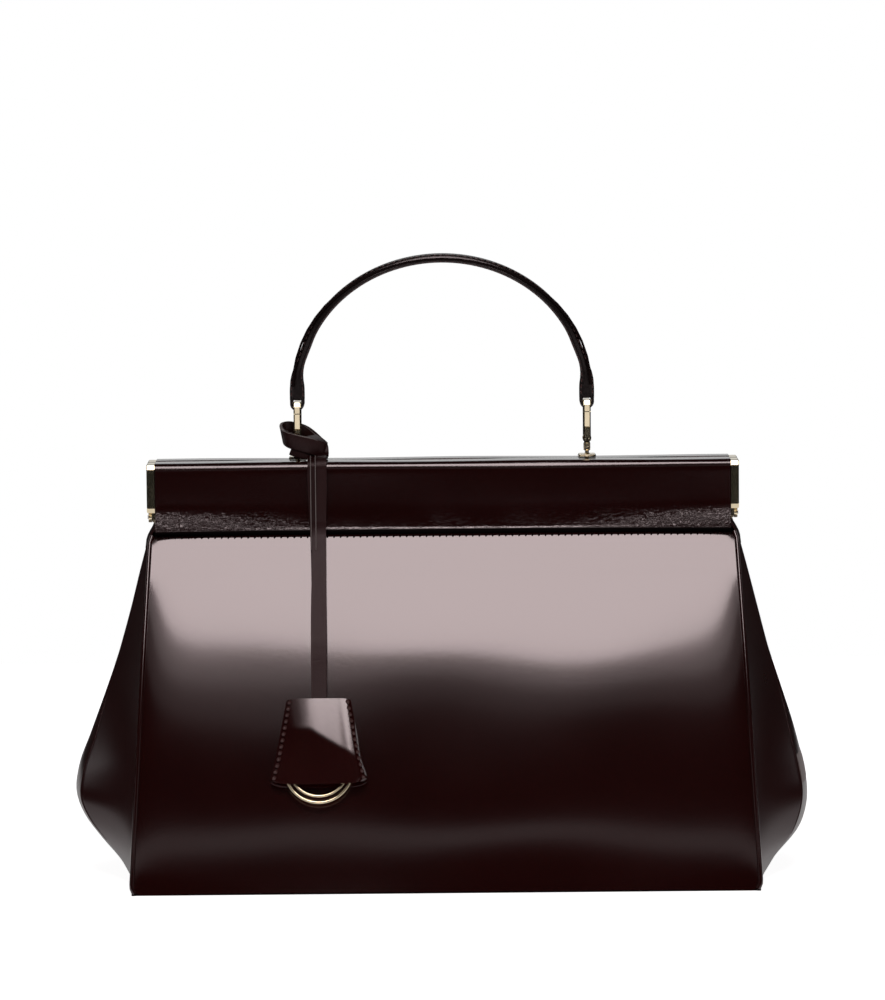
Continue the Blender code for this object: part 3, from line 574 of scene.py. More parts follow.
# %% Sections of the shell
GUSSET_SPREAD = 0.0312
GUSSET_TOP_SPREAD = 0.001
GUSSET_HOLLOW = 0.0022
GUSSET_STEPS = 22
CREASE_RELIEF = 0.0042
CREASE_SPREAD = 0.0500
CREASE_TOP_SPREAD = 0.0016
FORK_LIMIT = 2 / 3
PANEL_CROWN = 0.0050
FOOT_CURL = 0.0006
FOOT_CURL_HEIGHT = 0.0120
TOP_TURN = 0.0012
TOP_TURN_DEPTH = 0.0010
TURN_ROWS = 8
HEIGHT_SHARES = (0.0, 0.020, 0.057, 0.12, 0.18, 0.24, 0.31, 0.41, 0.53, 0.66, 0.78, 0.90, 1.0)


def by_height(*values):
    """A smooth function of the height's share. Values left out at the top are 0."""
    return through(HEIGHT_SHARES, values + (0.0,) * (len(HEIGHT_SHARES) - len(values)))


spread_share = by_height(0.0, 0.21, 0.39, 0.70, 0.91, 1.0, 0.955, 0.82, 0.625, 0.42, 0.275, 0.13)
side_extra = {
    -1: by_height(0.0, -0.04, -0.03, 0.01, 0.06, 0.10, 0.12, 0.07, 0.04, 0.02),
    1: by_height(0.0, 0.02, 0.06, 0.11, 0.04, -0.02, -0.03, -0.01),
}
relief_share = by_height(0.0, 0.80, 1.4, 1.65, 1.4, 1.05, 0.95, 0.75, 0.25)
fork_share = by_height(1.0, 0.96, 0.90, 0.80, 0.72, 0.64, 0.52, 0.30, 0.06)


def seam_x(height):
    return FOOT_X + (MOUTH_X - FOOT_X) * min(height / PANEL_TOP, 1)


def seam_y(height):
    share = clamp(height / PANEL_TOP)
    crown = PANEL_CROWN * 4 * share * (1 - share)
    curl = FOOT_CURL * fade(height, FOOT_CURL_HEIGHT, 2)
    return FOOT_Y + (MOUTH_Y - FOOT_Y) * share + crown - curl


def arc(start, pull, end, shares):
    """Points on a curve from start to end that a third point pulls at."""
    return [(1 - t) ** 2 * start + 2 * t * (1 - t) * pull + t * t * end for t in shares]


def gusset_half(height, sign=-1):
    """One gusset's section from the seam to the middle, as (x, y), with a ridge at the crease."""
    share = height / PANEL_TOP
    start = np.array((seam_x(height), seam_y(height)))
    spread = spread_share(share) + side_extra[sign](share)
    middle = seam_x(height) + spread * GUSSET_SPREAD + GUSSET_TOP_SPREAD * share
    fork = min(fork_share(share) * CREASE_SPREAD + CREASE_TOP_SPREAD, start[1] * FORK_LIMIT)
    relief = relief_share(share) * CREASE_RELIEF
    crease = np.array((middle - relief, fork))
    soft = np.array((middle - relief / 4, fork / 2))
    hollow = (start + crease) / 2 - np.array((GUSSET_HOLLOW, 0)) * spread_share(share)
    last = np.array((middle, 0))
    shares = np.linspace(0, 1, GUSSET_STEPS + 1)
    return np.array(
        arc(start, hollow, crease, shares[:-1]) + arc(crease, 2 * soft - (crease + last) / 2, last, shares)
    )


def shell_rows(top, steps=64):
    """Heights for the rows, closer together at the curled foot and the turned top."""
    plain = top - TOP_TURN - FOOT_CURL_HEIGHT
    low = [FOOT_CURL_HEIGHT * (i / TURN_ROWS) ** 1.3 for i in range(TURN_ROWS)]
    low += [FOOT_CURL_HEIGHT + plain * i / steps for i in range(steps)]
    return low + [top - TOP_TURN * (1 - i / TURN_ROWS) ** 1.5 for i in range(TURN_ROWS + 1)]


# %% Panels
PANEL_COLUMNS = 120
COLUMN_PULL = 0.4
PANEL_SAG = 0.0005
PANEL_PILLOW = 0.0013
FOOT_BOW = 0.0004
FOOT_LIFT = 0.0012
CORNER = 0.04
CORNER_LIFT = 0.0026
CORNER_DROP = 0.0012
CORNER_DROP_HEIGHT = 0.006


def panel_pillow(x, height):
    """The panel stands a little proud between its seams and rolls off towards them."""
    across = min(abs(x) / seam_x(height), 1)
    rise = math.sin(math.pi * min(clamp(height / PANEL_TOP) + 0.1, 1)) ** 0.5
    return PANEL_PILLOW * (1 - across ** 20) * rise


def panel_sag(x, height):
    """Soft unevenness of a big leather panel, nothing at the seams."""
    free = math.sin(math.pi * clamp(height / PANEL_TOP)) * math.cos(math.pi * x / 2 / FOOT_X)
    wave = math.sin(x * 21 + 0.6) + 0.6 * math.sin(x * 43 - height * 26) + 0.5 * math.sin(height * 60 + x * 9)
    return PANEL_SAG * free * wave


def panel_point(column, height, sign):
    line = -1 + 2 * column / PANEL_COLUMNS
    across = math.sin(math.pi * line / 2) * COLUMN_PULL + line * (1 - COLUMN_PULL)
    x = (seam_x(height) - SEAM_HALF) * across
    below = PANEL_TOP - height
    turn = fade(below, TOP_TURN)
    low = fade(height, FOOT_CURL_HEIGHT, 2)
    corner = (max(0, abs(across) - 1 + CORNER) / CORNER) ** 2
    y = seam_y(height) + panel_pillow(x, height) + panel_sag(x, height)
    y += FOOT_BOW * (1 - across ** 6) * low - TOP_TURN_DEPTH * (1 - math.sqrt(1 - 0.96 * turn * turn))
    lift = FOOT_LIFT * (1 - across ** 8) * low + CORNER_LIFT * corner * low
    lift -= CORNER_DROP * corner * fade(below, CORNER_DROP_HEIGHT, 2)
    return x, sign * y, height + lift


for half, sign in HALVES:
    rows = [[panel_point(i, h, sign) for i in range(PANEL_COLUMNS + 1)] for h in shell_rows(PANEL_TOP)]
    piece(half + " leather", skin(rows, LEATHER), PANEL_CALF, nodes=(half + "_panel",))

# %% Gussets
GUSSET_REACH = 0.01824
GUSSET_OVERLAP = 0.004
GUSSET_TURN = through((0, 0.39, 0.67, 1), (-0.0002, -0.0007, 0.0020, 0.0036))
GUSSET_NARROWING = 0.16
PRESSED_CREASE = 0.00055
CREASE_FOOT = 0.022
CREASE_TOP = 0.112
CREASE_POINTS = 46
CREASE_SUNK = 0.0001


def make_gusset(word, sign):
    rows = []
    for height in shell_rows(GUSSET_TOP, 56):
        half = gusset_half(height, sign)
        row = [(sign * x, -y, height) for x, y in half]
        rows.append(row + [(x, -y, z) for x, y, z in row[-2::-1]])
    piece("gusset leather " + word, skin(rows, LEATHER), SIDE_CALF, nodes=("gusset_" + word,))


def make_gusset_top(word, sign, half, y_sign):
    """The gusset's last stretch, which closes the corner under the end plate. The front one rides the bag's
    body like its plate; the rear one is only set in place.
    """
    low = GUSSET_TOP - GUSSET_OVERLAP
    rows = []
    for share in np.linspace(0, 1, 9):
        height = low + share * GUSSET_REACH
        section = gusset_half(min(height, PANEL_TOP))
        inwards, width = GUSSET_TURN(share), y_sign * (1 - GUSSET_NARROWING * share)
        rows.append([(sign * (x - inwards), width * y, height) for x, y in section])
    body = "bag_body"
    if half == "rear":
        body = ("bag_body", "rear_frame", (0, 0, GUSSET_TOP), (0, 0, low + GUSSET_REACH))
    piece("gusset top %s %s" % (half, word), skin(rows, LEATHER / 2), SIDE_CALF, body)


def make_crease(word, sign, half, y_sign):
    """The pressed crease stands up as a fine sharp ridge."""
    path = []
    for height in np.linspace(CREASE_FOOT, CREASE_TOP, CREASE_POINTS):
        x, y = gusset_half(height, sign)[GUSSET_STEPS]
        path.append((sign * (x - CREASE_SUNK), y_sign * y, height))
    taper = np.sin(np.pi * np.linspace(0.04, 0.96, CREASE_POINTS)) ** 0.5
    shape = sweep(path, round_section(PRESSED_CREASE, 8), (1, 0, 0), widths=taper, depths=taper)
    piece("gusset crease %s %s" % (half, word), shape, SIDE_CALF)


for word, sign in SIDES:
    make_gusset(word, sign)
    for make in (make_crease, make_gusset_top):
        for half, y_sign in HALVES:
            make(word, sign, half, y_sign)

# %% Piped seams
PIPING_RADIUS = 0.0013
PIPING_PROUD = 0.0001
FOOT_TUCK = 0.0030
FOOT_TUCK_HEIGHT = 0.005
TOP_TUCK = 0.0010
TOP_TUCK_HEIGHT = 0.004


def make_piping(word, sign, half, y_sign):
    heights = [FOOT_CURL_HEIGHT * (i / 6) ** 1.4 + 0.0012 for i in range(6)]
    path = []
    for h in heights + list(np.linspace(FOOT_CURL_HEIGHT + 0.002, PANEL_TOP, 50)):
        tuck = FOOT_TUCK * fade(h, FOOT_TUCK_HEIGHT, 2) + TOP_TUCK * fade(PANEL_TOP - h, TOP_TUCK_HEIGHT, 2)
        path.append((sign * (seam_x(h) + PIPING_PROUD - tuck), y_sign * (seam_y(h) + PIPING_PROUD), h))
    shape = sweep(path, round_section(PIPING_RADIUS), (1, 0, 0))
    piece("piping %s %s" % (half, word), shape, PANEL_CALF)


for word, sign in SIDES:
    for half, y_sign in HALVES:
        make_piping(word, sign, half, y_sign)

# %% Foot edges: each panel's edge turned under, near-black so that it also paints the shade along the foot
FOOT_SHADE_EDGE = 0.0006
for half, y_sign in HALVES:
    y = y_sign * (seam_y(0.0) - FOOT_SHADE_EDGE)
    path = [(x, y, FOOT_SHADE_EDGE) for x in np.linspace(-seam_x(0), seam_x(0), 41)]
    piece(half + " foot edge with painted shade", sweep(path, round_section(FOOT_SHADE_EDGE), (0, 1, 0)), EDGE_PAINT_AND_SHADE)

# %% Base and lining
BASE_LEVELS = ((0.0, 0.0022), (0.0, 0.0012), (0.0008, 0.0010), (LEATHER, 0.0016))
CHEEK_INSET = 0.0012
LINING_INSET = 0.0030
LINING_THICK = 0.0008
LINING_LOW = 0.006


def foot_ring(height, inset):
    """The shell's whole section at a height, moved inwards."""
    half = gusset_half(height) - np.array((CHEEK_INSET, 0)) * spread_share(height / PANEL_TOP)
    panel = [(seam_x(height) * a, -seam_y(height)) for a in np.linspace(-1, 1, 41)]
    right = [(x, -y) for x, y in half] + [(x, y) for x, y in half[-2::-1]]
    ring = panel[:-1] + right + [(-x, -y) for x, y in panel[1:-1]] + [(-x, -y) for x, y in right[:-1]]
    ring = np.array(ring)
    step = unit(np.roll(ring, -1, axis=0) - np.roll(ring, 1, axis=0))
    return ring - np.stack([step[:, 1], -step[:, 0]], axis=1) * inset


def level_ring(height, inset, z):
    return [(x, y, z) for x, y in foot_ring(height, inset)]


base_rings = [level_ring(0, inset, z) for z, inset in BASE_LEVELS]
piece("base leather", loft(base_rings), SIDE_CALF, nodes=("base_panel",))
heights = [LINING_FLOOR] + list(np.linspace(0.010, LINING_TOP, 34))
lining = [level_ring(max(h, LINING_LOW), LINING_INSET, h) for h in heights]
lining += [level_ring(max(h, LINING_LOW), LINING_INSET + LINING_THICK, h) for h in heights[:0:-1]]
lining += [level_ring(LINING_LOW, LINING_INSET + LINING_THICK, LINING_FLOOR + 0.001)]
piece("suede lining", loft(lining), LINING_SUEDE, "bag_body", ("lining",))

# %% [markdown]
# ## The frame
# Two metal rails in leather covers close over the mouth. A cover is one section, rounded at its
# outer top edge, drawn along the frame. Its lower edge is turned under, where the leather creases
# and puckers a little and flares out towards both ends.

# %% Frame covers
COVER_WALL = 0.0015
COVER_ROUND = 0.0030
COVER_DROP = 0.0055
COVER_EDGE = 0.0006
COVER_BEND = 0.0008
COVER_COLUMNS = 150
INNER_LEG = 0.024
QUARTER = math.pi / 2
PUCKER_HEIGHT = 0.0140
PUCKER = 0.0009
PUCKER_SWELL = 0.00030
END_FLARE = 0.0042
LIP = 0.0007
LIP_HEIGHT = 0.0018
COVER_WAVE = 0.00025
TOP_WAVE = 0.00018
rng = np.random.default_rng(7)
PUCKERS = [
    (rng.uniform(-FRAME_X, FRAME_X), rng.uniform(0.004, 0.012), rng.uniform(-1, 1)) for _ in range(70)
]


def cover_section():
    """(y, z) pairs of the front cover, from the meeting face over the top to the foot and back."""
    face, meet, top = MOUTH_Y, MEETING_Y, FRAME_TOP
    wall, roof, leg = face - COVER_WALL, top - COVER_WALL, top - INNER_LEG
    outline = [(meet, leg + COVER_EDGE), (meet, top - COVER_EDGE)]
    outline += [
        (meet + COVER_EDGE * (1 - math.cos(a)), top - COVER_EDGE * (1 - math.sin(a)))
        for a in np.linspace(0, QUARTER, 4)
    ]
    outline += [(y, top) for y in np.linspace(meet + 0.002, face - COVER_ROUND, 5)]
    outline += [
        (face - COVER_ROUND * (1 - math.sin(a)), top - COVER_DROP * (1 - math.cos(a)))
        for a in np.linspace(0, QUARTER, 11)
    ]
    outline += [(face, z) for z in np.linspace(top - COVER_DROP - 0.001, BAND_FOOT + 0.0030, 24)]
    outline += [(face, BAND_FOOT + d) for d in (0.0022, 0.0016, 0.0012, 0.0008, 0.0005)]
    outline += [(face - d, BAND_FOOT + up) for d, up in ((0.0003, 0.0002), (0.00075, 0), (0.0012, 0.0002))]
    outline += [(wall, z) for z in np.linspace(BAND_FOOT + COVER_BEND, roof - COVER_WALL, 10)]
    outline += [(wall - COVER_WALL, roof), (meet + COVER_WALL + COVER_BEND, roof)]
    outline += [(meet + COVER_WALL, roof - COVER_BEND), (meet + COVER_WALL, leg + COVER_EDGE)]
    return outline + [(meet + COVER_WALL / 2, leg)]


def pucker(x, up):
    """How far the cover's face stands out at a height above its foot."""
    swell = sum(
        strength * math.exp(-((x - place - up * strength) / width) ** 2)
        for place, width, strength in PUCKERS
    )
    flare = END_FLARE * abs(x / FRAME_X) ** 3
    bulge = fade(up, PUCKER_HEIGHT, 1.9) * (PUCKER + flare + PUCKER_SWELL * swell)
    return LIP * fade(up, LIP_HEIGHT, 2) + bulge + COVER_WAVE * math.sin(x * 31) * math.sin(up * 92)


def cover_ring(x, sign):
    ring = []
    for y, z in cover_section():
        out = pucker(x, z - BAND_FOOT) if y > MOUTH_Y - 0.0004 else 0
        rise = TOP_WAVE * math.sin(x * 47 + sign) if z > FRAME_TOP - 0.001 else 0
        ring.append((x, sign * (y + out), z + rise))
    return ring


for half, sign in HALVES:
    rings = [cover_ring(x, sign) for x in np.linspace(-FRAME_X, FRAME_X, COVER_COLUMNS + 1)]
    piece(half + " band", loft(rings), BAND_CALF, HALF_BODY[half], (half + "_cover",))

# %% The sunk seam under each band
STRIP_DEPTH = 0.0018
STRIP_LEAN = 0.0008
STRIP_OVERLAP = 0.004
STRIP_THICK = 0.0006
SACK_GAP = 0.0042
RAIL_GAP = 0.0030
RAIL_FOOT = FRAME_TOP - 0.022
SEAM_BODIES = {
    "front": "bag_body",
    "rear": ("bag_body", "rear_frame", (0, 0, PANEL_TOP - 0.001), (0, 0, BAND_FOOT + 0.001)),
}
LINING_BODIES = {
    "front": "bag_body", "rear": ("bag_body", "rear_frame", (0, 0, LINING_TOP), (0, 0, RAIL_FOOT)),
}


def sheet(reach, columns, low, high, steps, depth):
    """Rows of points from the height low to high. depth gives y for the share of the way."""
    xs = np.linspace(-reach, reach, columns)
    shares = np.linspace(0, 1, steps)
    return [[(x, depth(share), low + share * (high - low)) for x in xs] for share in shares]


def make_seam_strip(half, sign):
    """A leather edge just behind the panel's top and the band's foot, where the two are sewn."""
    rows = sheet(
        FRAME_X + STRIP_THICK, 61, PANEL_TOP - STRIP_OVERLAP, BAND_FOOT + STRIP_OVERLAP, 7,
        lambda share: sign * (MOUTH_Y - STRIP_DEPTH - STRIP_LEAN * (1 - share)),
    )
    shape = skin(rows, STRIP_THICK, (0, 0, PANEL_TOP))
    piece(half + " seam strip", shape, EDGE_PAINT_AND_SHADE, SEAM_BODIES[half])


def make_mouth_lining(half, sign):
    """Lining that runs from the sack's rim up behind the rail. The front one rides the bag's body; the rear
    one is only set in place.
    """
    sack, rail = seam_y(LINING_TOP) - SACK_GAP, MEETING_Y + RAIL_GAP
    rows = sheet(
        MOUTH_X - 0.006, 41, LINING_TOP - 0.003, RAIL_FOOT, 9,
        lambda share: sign * (sack * (1 - share) + rail * share),
    )
    shape = skin(rows, -STRIP_THICK, (0, 0, PANEL_TOP))
    piece(half + " mouth lining", shape, LINING_SUEDE, LINING_BODIES[half])


for half, sign in HALVES:
    make_seam_strip(half, sign)
    make_mouth_lining(half, sign)

# %% End plates and hinges
PLATE_CHAMFER = 0.0009
PLATE_CHAMFER_RISE = 0.0024
PLATE_INSET = 0.00045
PLATE_FOOT = FRAME_TOP - 0.0258
KNUCKLE_RADIUS = 0.0028
KNUCKLE_GAP = 0.00015
KNUCKLE_INSET = 0.0002
NECK_DEPTH = 0.0050
NECK_OVERLAP = 0.003
NECK_Y = 0.0032
PIN_RADIUS = 0.0010
PIN_PROUD = 0.0003


def reach_of(node_name):
    """The near and far end of a node along X, seen from the middle of the bag."""
    low, high = corners(node_name)
    return sorted((abs(low[0]), abs(high[0])))


def make_end_plate(half, sign, word, place):
    node_name = "end_plate_%s" % word
    low, high = corners(half + "_" + node_name)
    near, face, top = MEETING_Y, max(abs(low[1]), abs(high[1])), high[2]
    cut, rise = face - PLATE_CHAMFER, PLATE_CHAMFER_RISE
    outline = [
        (near, PLATE_FOOT), (near, top - 0.0005), (near + 0.0005, top), (cut - 0.0006, top),
        (cut, top - 0.0004), (face, top - rise), (face, PLATE_FOOT + rise), (cut, PLATE_FOOT),
    ]
    centre = np.mean(outline, axis=0)
    start, stop = reach_of(half + "_" + node_name)
    rings = []
    for x, shrink in ((start, 0), (stop - PLATE_INSET, 0), (stop, PLATE_INSET)):
        pulls = np.sign(np.array(outline) - centre) * shrink
        rings.append([
            (place * x, sign * (y - pull_y), z - pull_z) for (y, z), (pull_y, pull_z) in zip(outline, pulls)
        ])
    body, words = HALF_BODY[half], half + " " + word
    gold_piece("end plate " + words, loft(rings), body, (half + "_" + node_name,), GOLD_SHARP)
    middle = (start + stop) / 2
    ends = (start + KNUCKLE_INSET, middle - KNUCKLE_GAP)
    if half == "rear":
        ends = (middle + KNUCKLE_GAP, stop - KNUCKLE_INSET)
    path = [(place * x, 0, HINGE_Z) for x in ends]
    gold_piece("knuckle " + words, sweep(path, round_section(KNUCKLE_RADIUS, 20), (0, 1, 0)), body)
    neck = rounded_box(NECK_DEPTH, PLATE_FOOT - HINGE_Z + NECK_OVERLAP, 0.0004, 1)
    path = [(place * x, sign * NECK_Y, (PLATE_FOOT + HINGE_Z) / 2) for x in ends]
    gold_piece("knuckle neck " + words, sweep(path, neck, (0, 1, 0)), body)


def make_hinge_pin(word, place):
    near, far = reach_of("hinge_pin_" + word)
    path = [(place * x, 0, HINGE_Z) for x in (near, far, far + PIN_PROUD)]
    shape = sweep(path, round_section(PIN_RADIUS, 14), (0, 1, 0))
    piece("hinge pin head " + word, shape, STEEL, "bag_body", ("hinge_pin_" + word,))


def dress(node_name, finish):
    """A better material on a CAD solid, in the object's own slots."""
    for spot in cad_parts[node_name].material_slots:
        spot.link = "OBJECT"
        spot.material = finish


for word, place in SIDES:
    for half, sign in HALVES:
        make_end_plate(half, sign, word, place)
        dress("%s_magnet_%s" % (half, word), STEEL)
    make_hinge_pin(word, place)
for half, sign in HALVES:
    dress(half + "_rail", STEEL)
dress("base_board", BOARD)

# %% [markdown]
# ## Thread
# Stitches repeat along a line at one pitch, so Geometry Nodes make them. A curve goes in, the tree
# spaces points along it, sets one small thread on each, turned along the line, and realizes them.
# The result is turned into a plain mesh, and then it rides its body like any other piece.

# %% Stitch tree
def make_stitch_tree():
    tree = bpy.data.node_groups.new("Stitches along a line", "GeometryNodeTree")
    for label in ("Geometry", "Pitch", "Thread", "Length", "Tilt", "Material"):
        kind = "NodeSocket" + (label if label in ("Geometry", "Material") else "Float")
        tree.interface.new_socket(label, in_out="INPUT", socket_type=kind)
    tree.interface.new_socket("Geometry", in_out="OUTPUT", socket_type="NodeSocketGeometry")
    given = node(tree, "NodeGroupInput").outputs
    spots = node(
        tree, "GeometryNodeCurveToPoints", mode="LENGTH", Curve=given["Geometry"], Length=given["Pitch"]
    ).outputs
    ball = node(tree, "GeometryNodeMeshUVSphere", Segments=6, Rings=5, Radius=0.5)
    wide = calculate(tree, "MULTIPLY", given["Thread"], 2.0)
    size = node(tree, "CombineXYZ", wide, wide, given["Length"])
    lean = node(tree, "CombineXYZ", given["Tilt"])
    angle = node(tree, "FunctionNodeEulerToRotation", lean.outputs[0]).outputs[0]
    turn = node(
        tree, "FunctionNodeRotateRotation", spots["Rotation"], angle, rotation_space="LOCAL"
    ).outputs[0]
    threads = node(
        tree, "GeometryNodeInstanceOnPoints", Points=spots["Points"], Instance=ball.outputs["Mesh"],
        Rotation=turn, Scale=size.outputs[0],
    )
    real = node(tree, "GeometryNodeRealizeInstances", threads.outputs[0])
    smooth = node(tree, "GeometryNodeSetShadeSmooth", real.outputs[0])
    finish = node(tree, "GeometryNodeSetMaterial", Geometry=smooth.outputs[0], Material=given["Material"])
    node(tree, "NodeGroupOutput", finish.outputs[0])
    return tree


STITCHES = make_stitch_tree()
SOCKETS = {item.name: item.identifier for item in STITCHES.interface.items_tree if item.in_out == "INPUT"}


def stitch_lines(name, lines, body, pitch, thread, length, tilt=0.0, finish=THREAD):
    name = name.replace(" ", "_")
    curve = bpy.data.curves.new(name, "CURVE")
    curve.dimensions = "3D"
    for line in lines:
        spline = curve.splines.new("POLY")
        spline.points.add(len(line) - 1)
        for spot, where in zip(spline.points, line):
            spot.co = (*where, 1)
    source = add_object(name + " line", curve)
    run = source.modifiers.new("Stitches", "NODES")
    run.node_group = STITCHES
    values = {"Pitch": pitch, "Thread": thread, "Length": length, "Tilt": tilt, "Material": finish}
    for label, value in values.items():
        run[SOCKETS[label]] = value
    mesh = bpy.data.meshes.new_from_object(source.evaluated_get(bpy.context.evaluated_depsgraph_get()))
    bpy.data.objects.remove(source, do_unlink=True)
    attach(add_object(name, mesh), body)
    print(name, len(mesh.polygons), "faces")


# %% Whip stitches in the sunk seams
WHIP_PROUD = 0.0004
WHIP_DROP = 0.0011
for half, sign in HALVES:
    y, z = sign * (MOUTH_Y + WHIP_PROUD), PANEL_TOP - WHIP_DROP
    stitch_lines(
        half + " seam stitches", [[(x, y, z) for x in np.linspace(-FRAME_X, FRAME_X, 60)]],
        SEAM_BODIES[half], pitch=0.0034, thread=0.00055, length=0.0028, tilt=1.25,
        finish=EDGE_PAINT_AND_SHADE,
    )

# %% [markdown]
# ## The handle
# The handle is two layers of leather over a stiff core, bent into an arch. It is swept as a
# padded section along half an ellipse. Both ends grow thicker and turn round the links' top bars.

# %% Arch
HANDLE_LOW, HANDLE_HIGH = corners("handle_top")
LOOP_LOW = corners("handle_end_right")[0]
LINK_LOW, LINK_HIGH = corners("link_right")
HANDLE_Y = (HANDLE_LOW[1] + HANDLE_HIGH[1]) / 2
HANDLE_WIDTH = HANDLE_HIGH[1] - HANDLE_LOW[1]
HANDLE_THICK = 0.0045
LINK_X = (LINK_LOW[0] + LINK_HIGH[0]) / 2
LINK_BAR = 0.0024
SPRING_Z = HANDLE_LOW[2]
ARCH_X = HANDLE_HIGH[0] - HANDLE_THICK / 2
ARCH_RISE = HANDLE_HIGH[2] - HANDLE_THICK / 2 - SPRING_Z
ARCH_STEPS = 72
ARCH_NARROWING = 0.045
SPRING_HEIGHT = 0.030
HANDLE_END_Z = LINK_HIGH[2] - LINK_BAR / 2 + 0.0023
END_WIDTH = 0.0076
END_SWELL = 0.017
END_SWELL_RISE = 0.003
PAD_LEAN = 0.5
THREAD_HEIGHT = 0.80
THREAD_INSET = {1: 0.0014, -1: 0.0002}


def arch_path():
    arch = []
    for i in range(ARCH_STEPS + 1):
        angle = math.pi - math.pi * i / ARCH_STEPS
        x, z = ARCH_X * math.cos(angle), SPRING_Z + ARCH_RISE * math.sin(angle)
        x -= math.copysign((ARCH_X - LINK_X) * fade(z - SPRING_Z, SPRING_HEIGHT, 1.4), x)
        x *= 1 - ARCH_NARROWING * smooth_step((z - SPRING_Z) / (0.36 * ARCH_RISE))
        arch.append((x, HANDLE_Y, z))
    left = [(-LINK_X, HANDLE_Y, z) for z in np.linspace(HANDLE_END_Z, SPRING_Z, 8)[:-1]]
    right = [(-x, y, z) for x, y, z in left[::-1]]
    return np.array(left + arch + right)


def handle_swell(z):
    """The layers part towards each end, to go round the link."""
    return 1 + (END_WIDTH / HANDLE_THICK - 1) * smooth_step(1 - (z - SPRING_Z + END_SWELL_RISE) / END_SWELL)


def handle_section():
    """Padded above: both sides lean in towards the top, and every corner is soft."""
    w, t = HANDLE_WIDTH / 2, HANDLE_THICK / 2
    right = [(0.70 * w, -t), (0.93 * w, -0.9 * t), (w - 0.0001, -0.68 * t)]
    right += [(w - PAD_LEAN * (b + 0.45) * t, b * t) for b in (-0.45, -0.2, 0.1, 0.4, 0.7)]
    shoulder = w - PAD_LEAN * 1.15 * t
    right += [(shoulder - 0.0006, 0.91 * t), (shoulder - 0.0016, t), (0.2 * w, 1.03 * t)]
    return right + [(-across, up) for across, up in right[::-1]]


ARCH = arch_path()
SWELL = np.array([handle_swell(z) for z in ARCH[:, 2]])
piece(
    "handle leather", sweep(ARCH, handle_section(), (0, 1, 0), depths=SWELL), HANDLE_CALF, "handle",
    ("handle_top", "handle_under"),
)


def beside_arch(y_sign, layer):
    """A line on the handle's rounded corner, for one row of stitches. layer is +1 above."""
    normal = np.cross(unit(np.gradient(ARCH, axis=0)), (0, 1, 0))
    line = ARCH + normal * (layer * HANDLE_THICK / 2 * THREAD_HEIGHT * SWELL)[:, None]
    line[:, 1] = HANDLE_Y + y_sign * (HANDLE_WIDTH / 2 - THREAD_INSET[layer])
    return line[3:-3]


stitch_lines(
    "handle stitches", [beside_arch(a, b) for a in (-1, 1) for b in (-1, 1)], "handle",
    pitch=0.0031, thread=0.00036, length=0.0022,
)

# %% End loops
LOOP_WALL = 0.0017
LOOP_FIT = 0.00008
LOOP_OVERLAP = 0.0010


def make_end_loop(word, place):
    x = place * LINK_X
    reach = END_WIDTH / 2 - LOOP_FIT - LOOP_WALL / 2
    low = LOOP_LOW[2] + reach + LOOP_WALL / 2
    heights = np.linspace(HANDLE_END_Z + LOOP_OVERLAP, low, 8)
    path = [(x - place * reach, HANDLE_Y, z) for z in heights]
    for a in np.linspace(0, math.pi, 15)[1:]:
        path.append((x - place * reach * math.cos(a), HANDLE_Y, low - reach * math.sin(a)))
    path += [(x + place * reach, HANDLE_Y, z) for z in heights[-2::-1]]
    shape = sweep(path, rounded_box(HANDLE_WIDTH, LOOP_WALL, 0.0006), (0, 1, 0))
    nodes = ("handle_end_" + word,)
    piece("handle end " + word, shape, HANDLE_CALF, "handle", nodes)


for word, place in SIDES:
    make_end_loop(word, place)
dress("handle_core", EDGE_PAINT_AND_SHADE)

# %% [markdown]
# ## Links and posts
# Each link is a rectangular gold frame with bevelled edges, closed below by a round pin. The pin
# turns in the eye of a small turned post, and the post stands on a plate on the rear rail.

# %% Links
# Depth and drop of each corner on a bar's outer face, from the top: a ground bevel, a short flat,
# a recessed facet that looks a little downwards, and a second flat
LINK_FACETS = [
    (0.0012, 0), (0.0001, -0.0020), (0.0004, -0.0056), (0.0001, -0.0060), (0.0010, -0.0136),
    (0.0001, -0.0142),
]
LINK_FOOT = 0.0004
LINK_EDGE = 0.0006
LINK_FLAT = 0.66
LINK_PIN = 0.0011
LINK_PIN_END = 0.0004


def make_link(word):
    low, high = corners("link_" + word)
    x, middle = (low[0] + high[0]) / 2, (low[1] + high[1]) / 2
    foot, top, roof = low[2] + LINK_FOOT, high[2], high[2] - LINK_BAR
    facets = LINK_FACETS + [(LINK_FOOT, foot - top)]
    outer = [(low[1] + depth, top + drop) for depth, drop in facets][::-1]
    outer += [(high[1] - depth, top + drop) for depth, drop in facets]
    y0, y1 = low[1] + LINK_BAR, high[1] - LINK_BAR
    outline = outer + [(y1, foot), (y1, roof), (y0, roof), (y0, foot)]
    rings = []
    for reach, shrink in ((-1, LINK_EDGE), (-LINK_FLAT, 0), (LINK_FLAT, 0), (1, LINK_EDGE)):
        ring = []
        for k, (y, z) in enumerate(outline):
            pull = shrink if k < len(outer) else -shrink
            drop = pull if z > roof - 0.0001 else 0
            ring.append((x + reach * (high[0] - low[0]) / 2, y - math.copysign(pull, y - middle), z - drop))
        rings.append(ring)
    body = word + "_link"
    gold_piece("link " + word, loft(rings), body, ("link_" + word,), LINK_SHARP)
    ends = (low[1], low[1] + LINK_PIN_END, high[1] - LINK_PIN_END, high[1])
    taper = (0.7, 1, 1, 0.7)
    path = [(x, y, low[2] + LINK_PIN) for y in ends]
    shape = sweep(path, round_section(LINK_PIN, 18), (1, 0, 0), widths=taper, depths=taper)
    gold_piece("link pin " + word, shape, body)


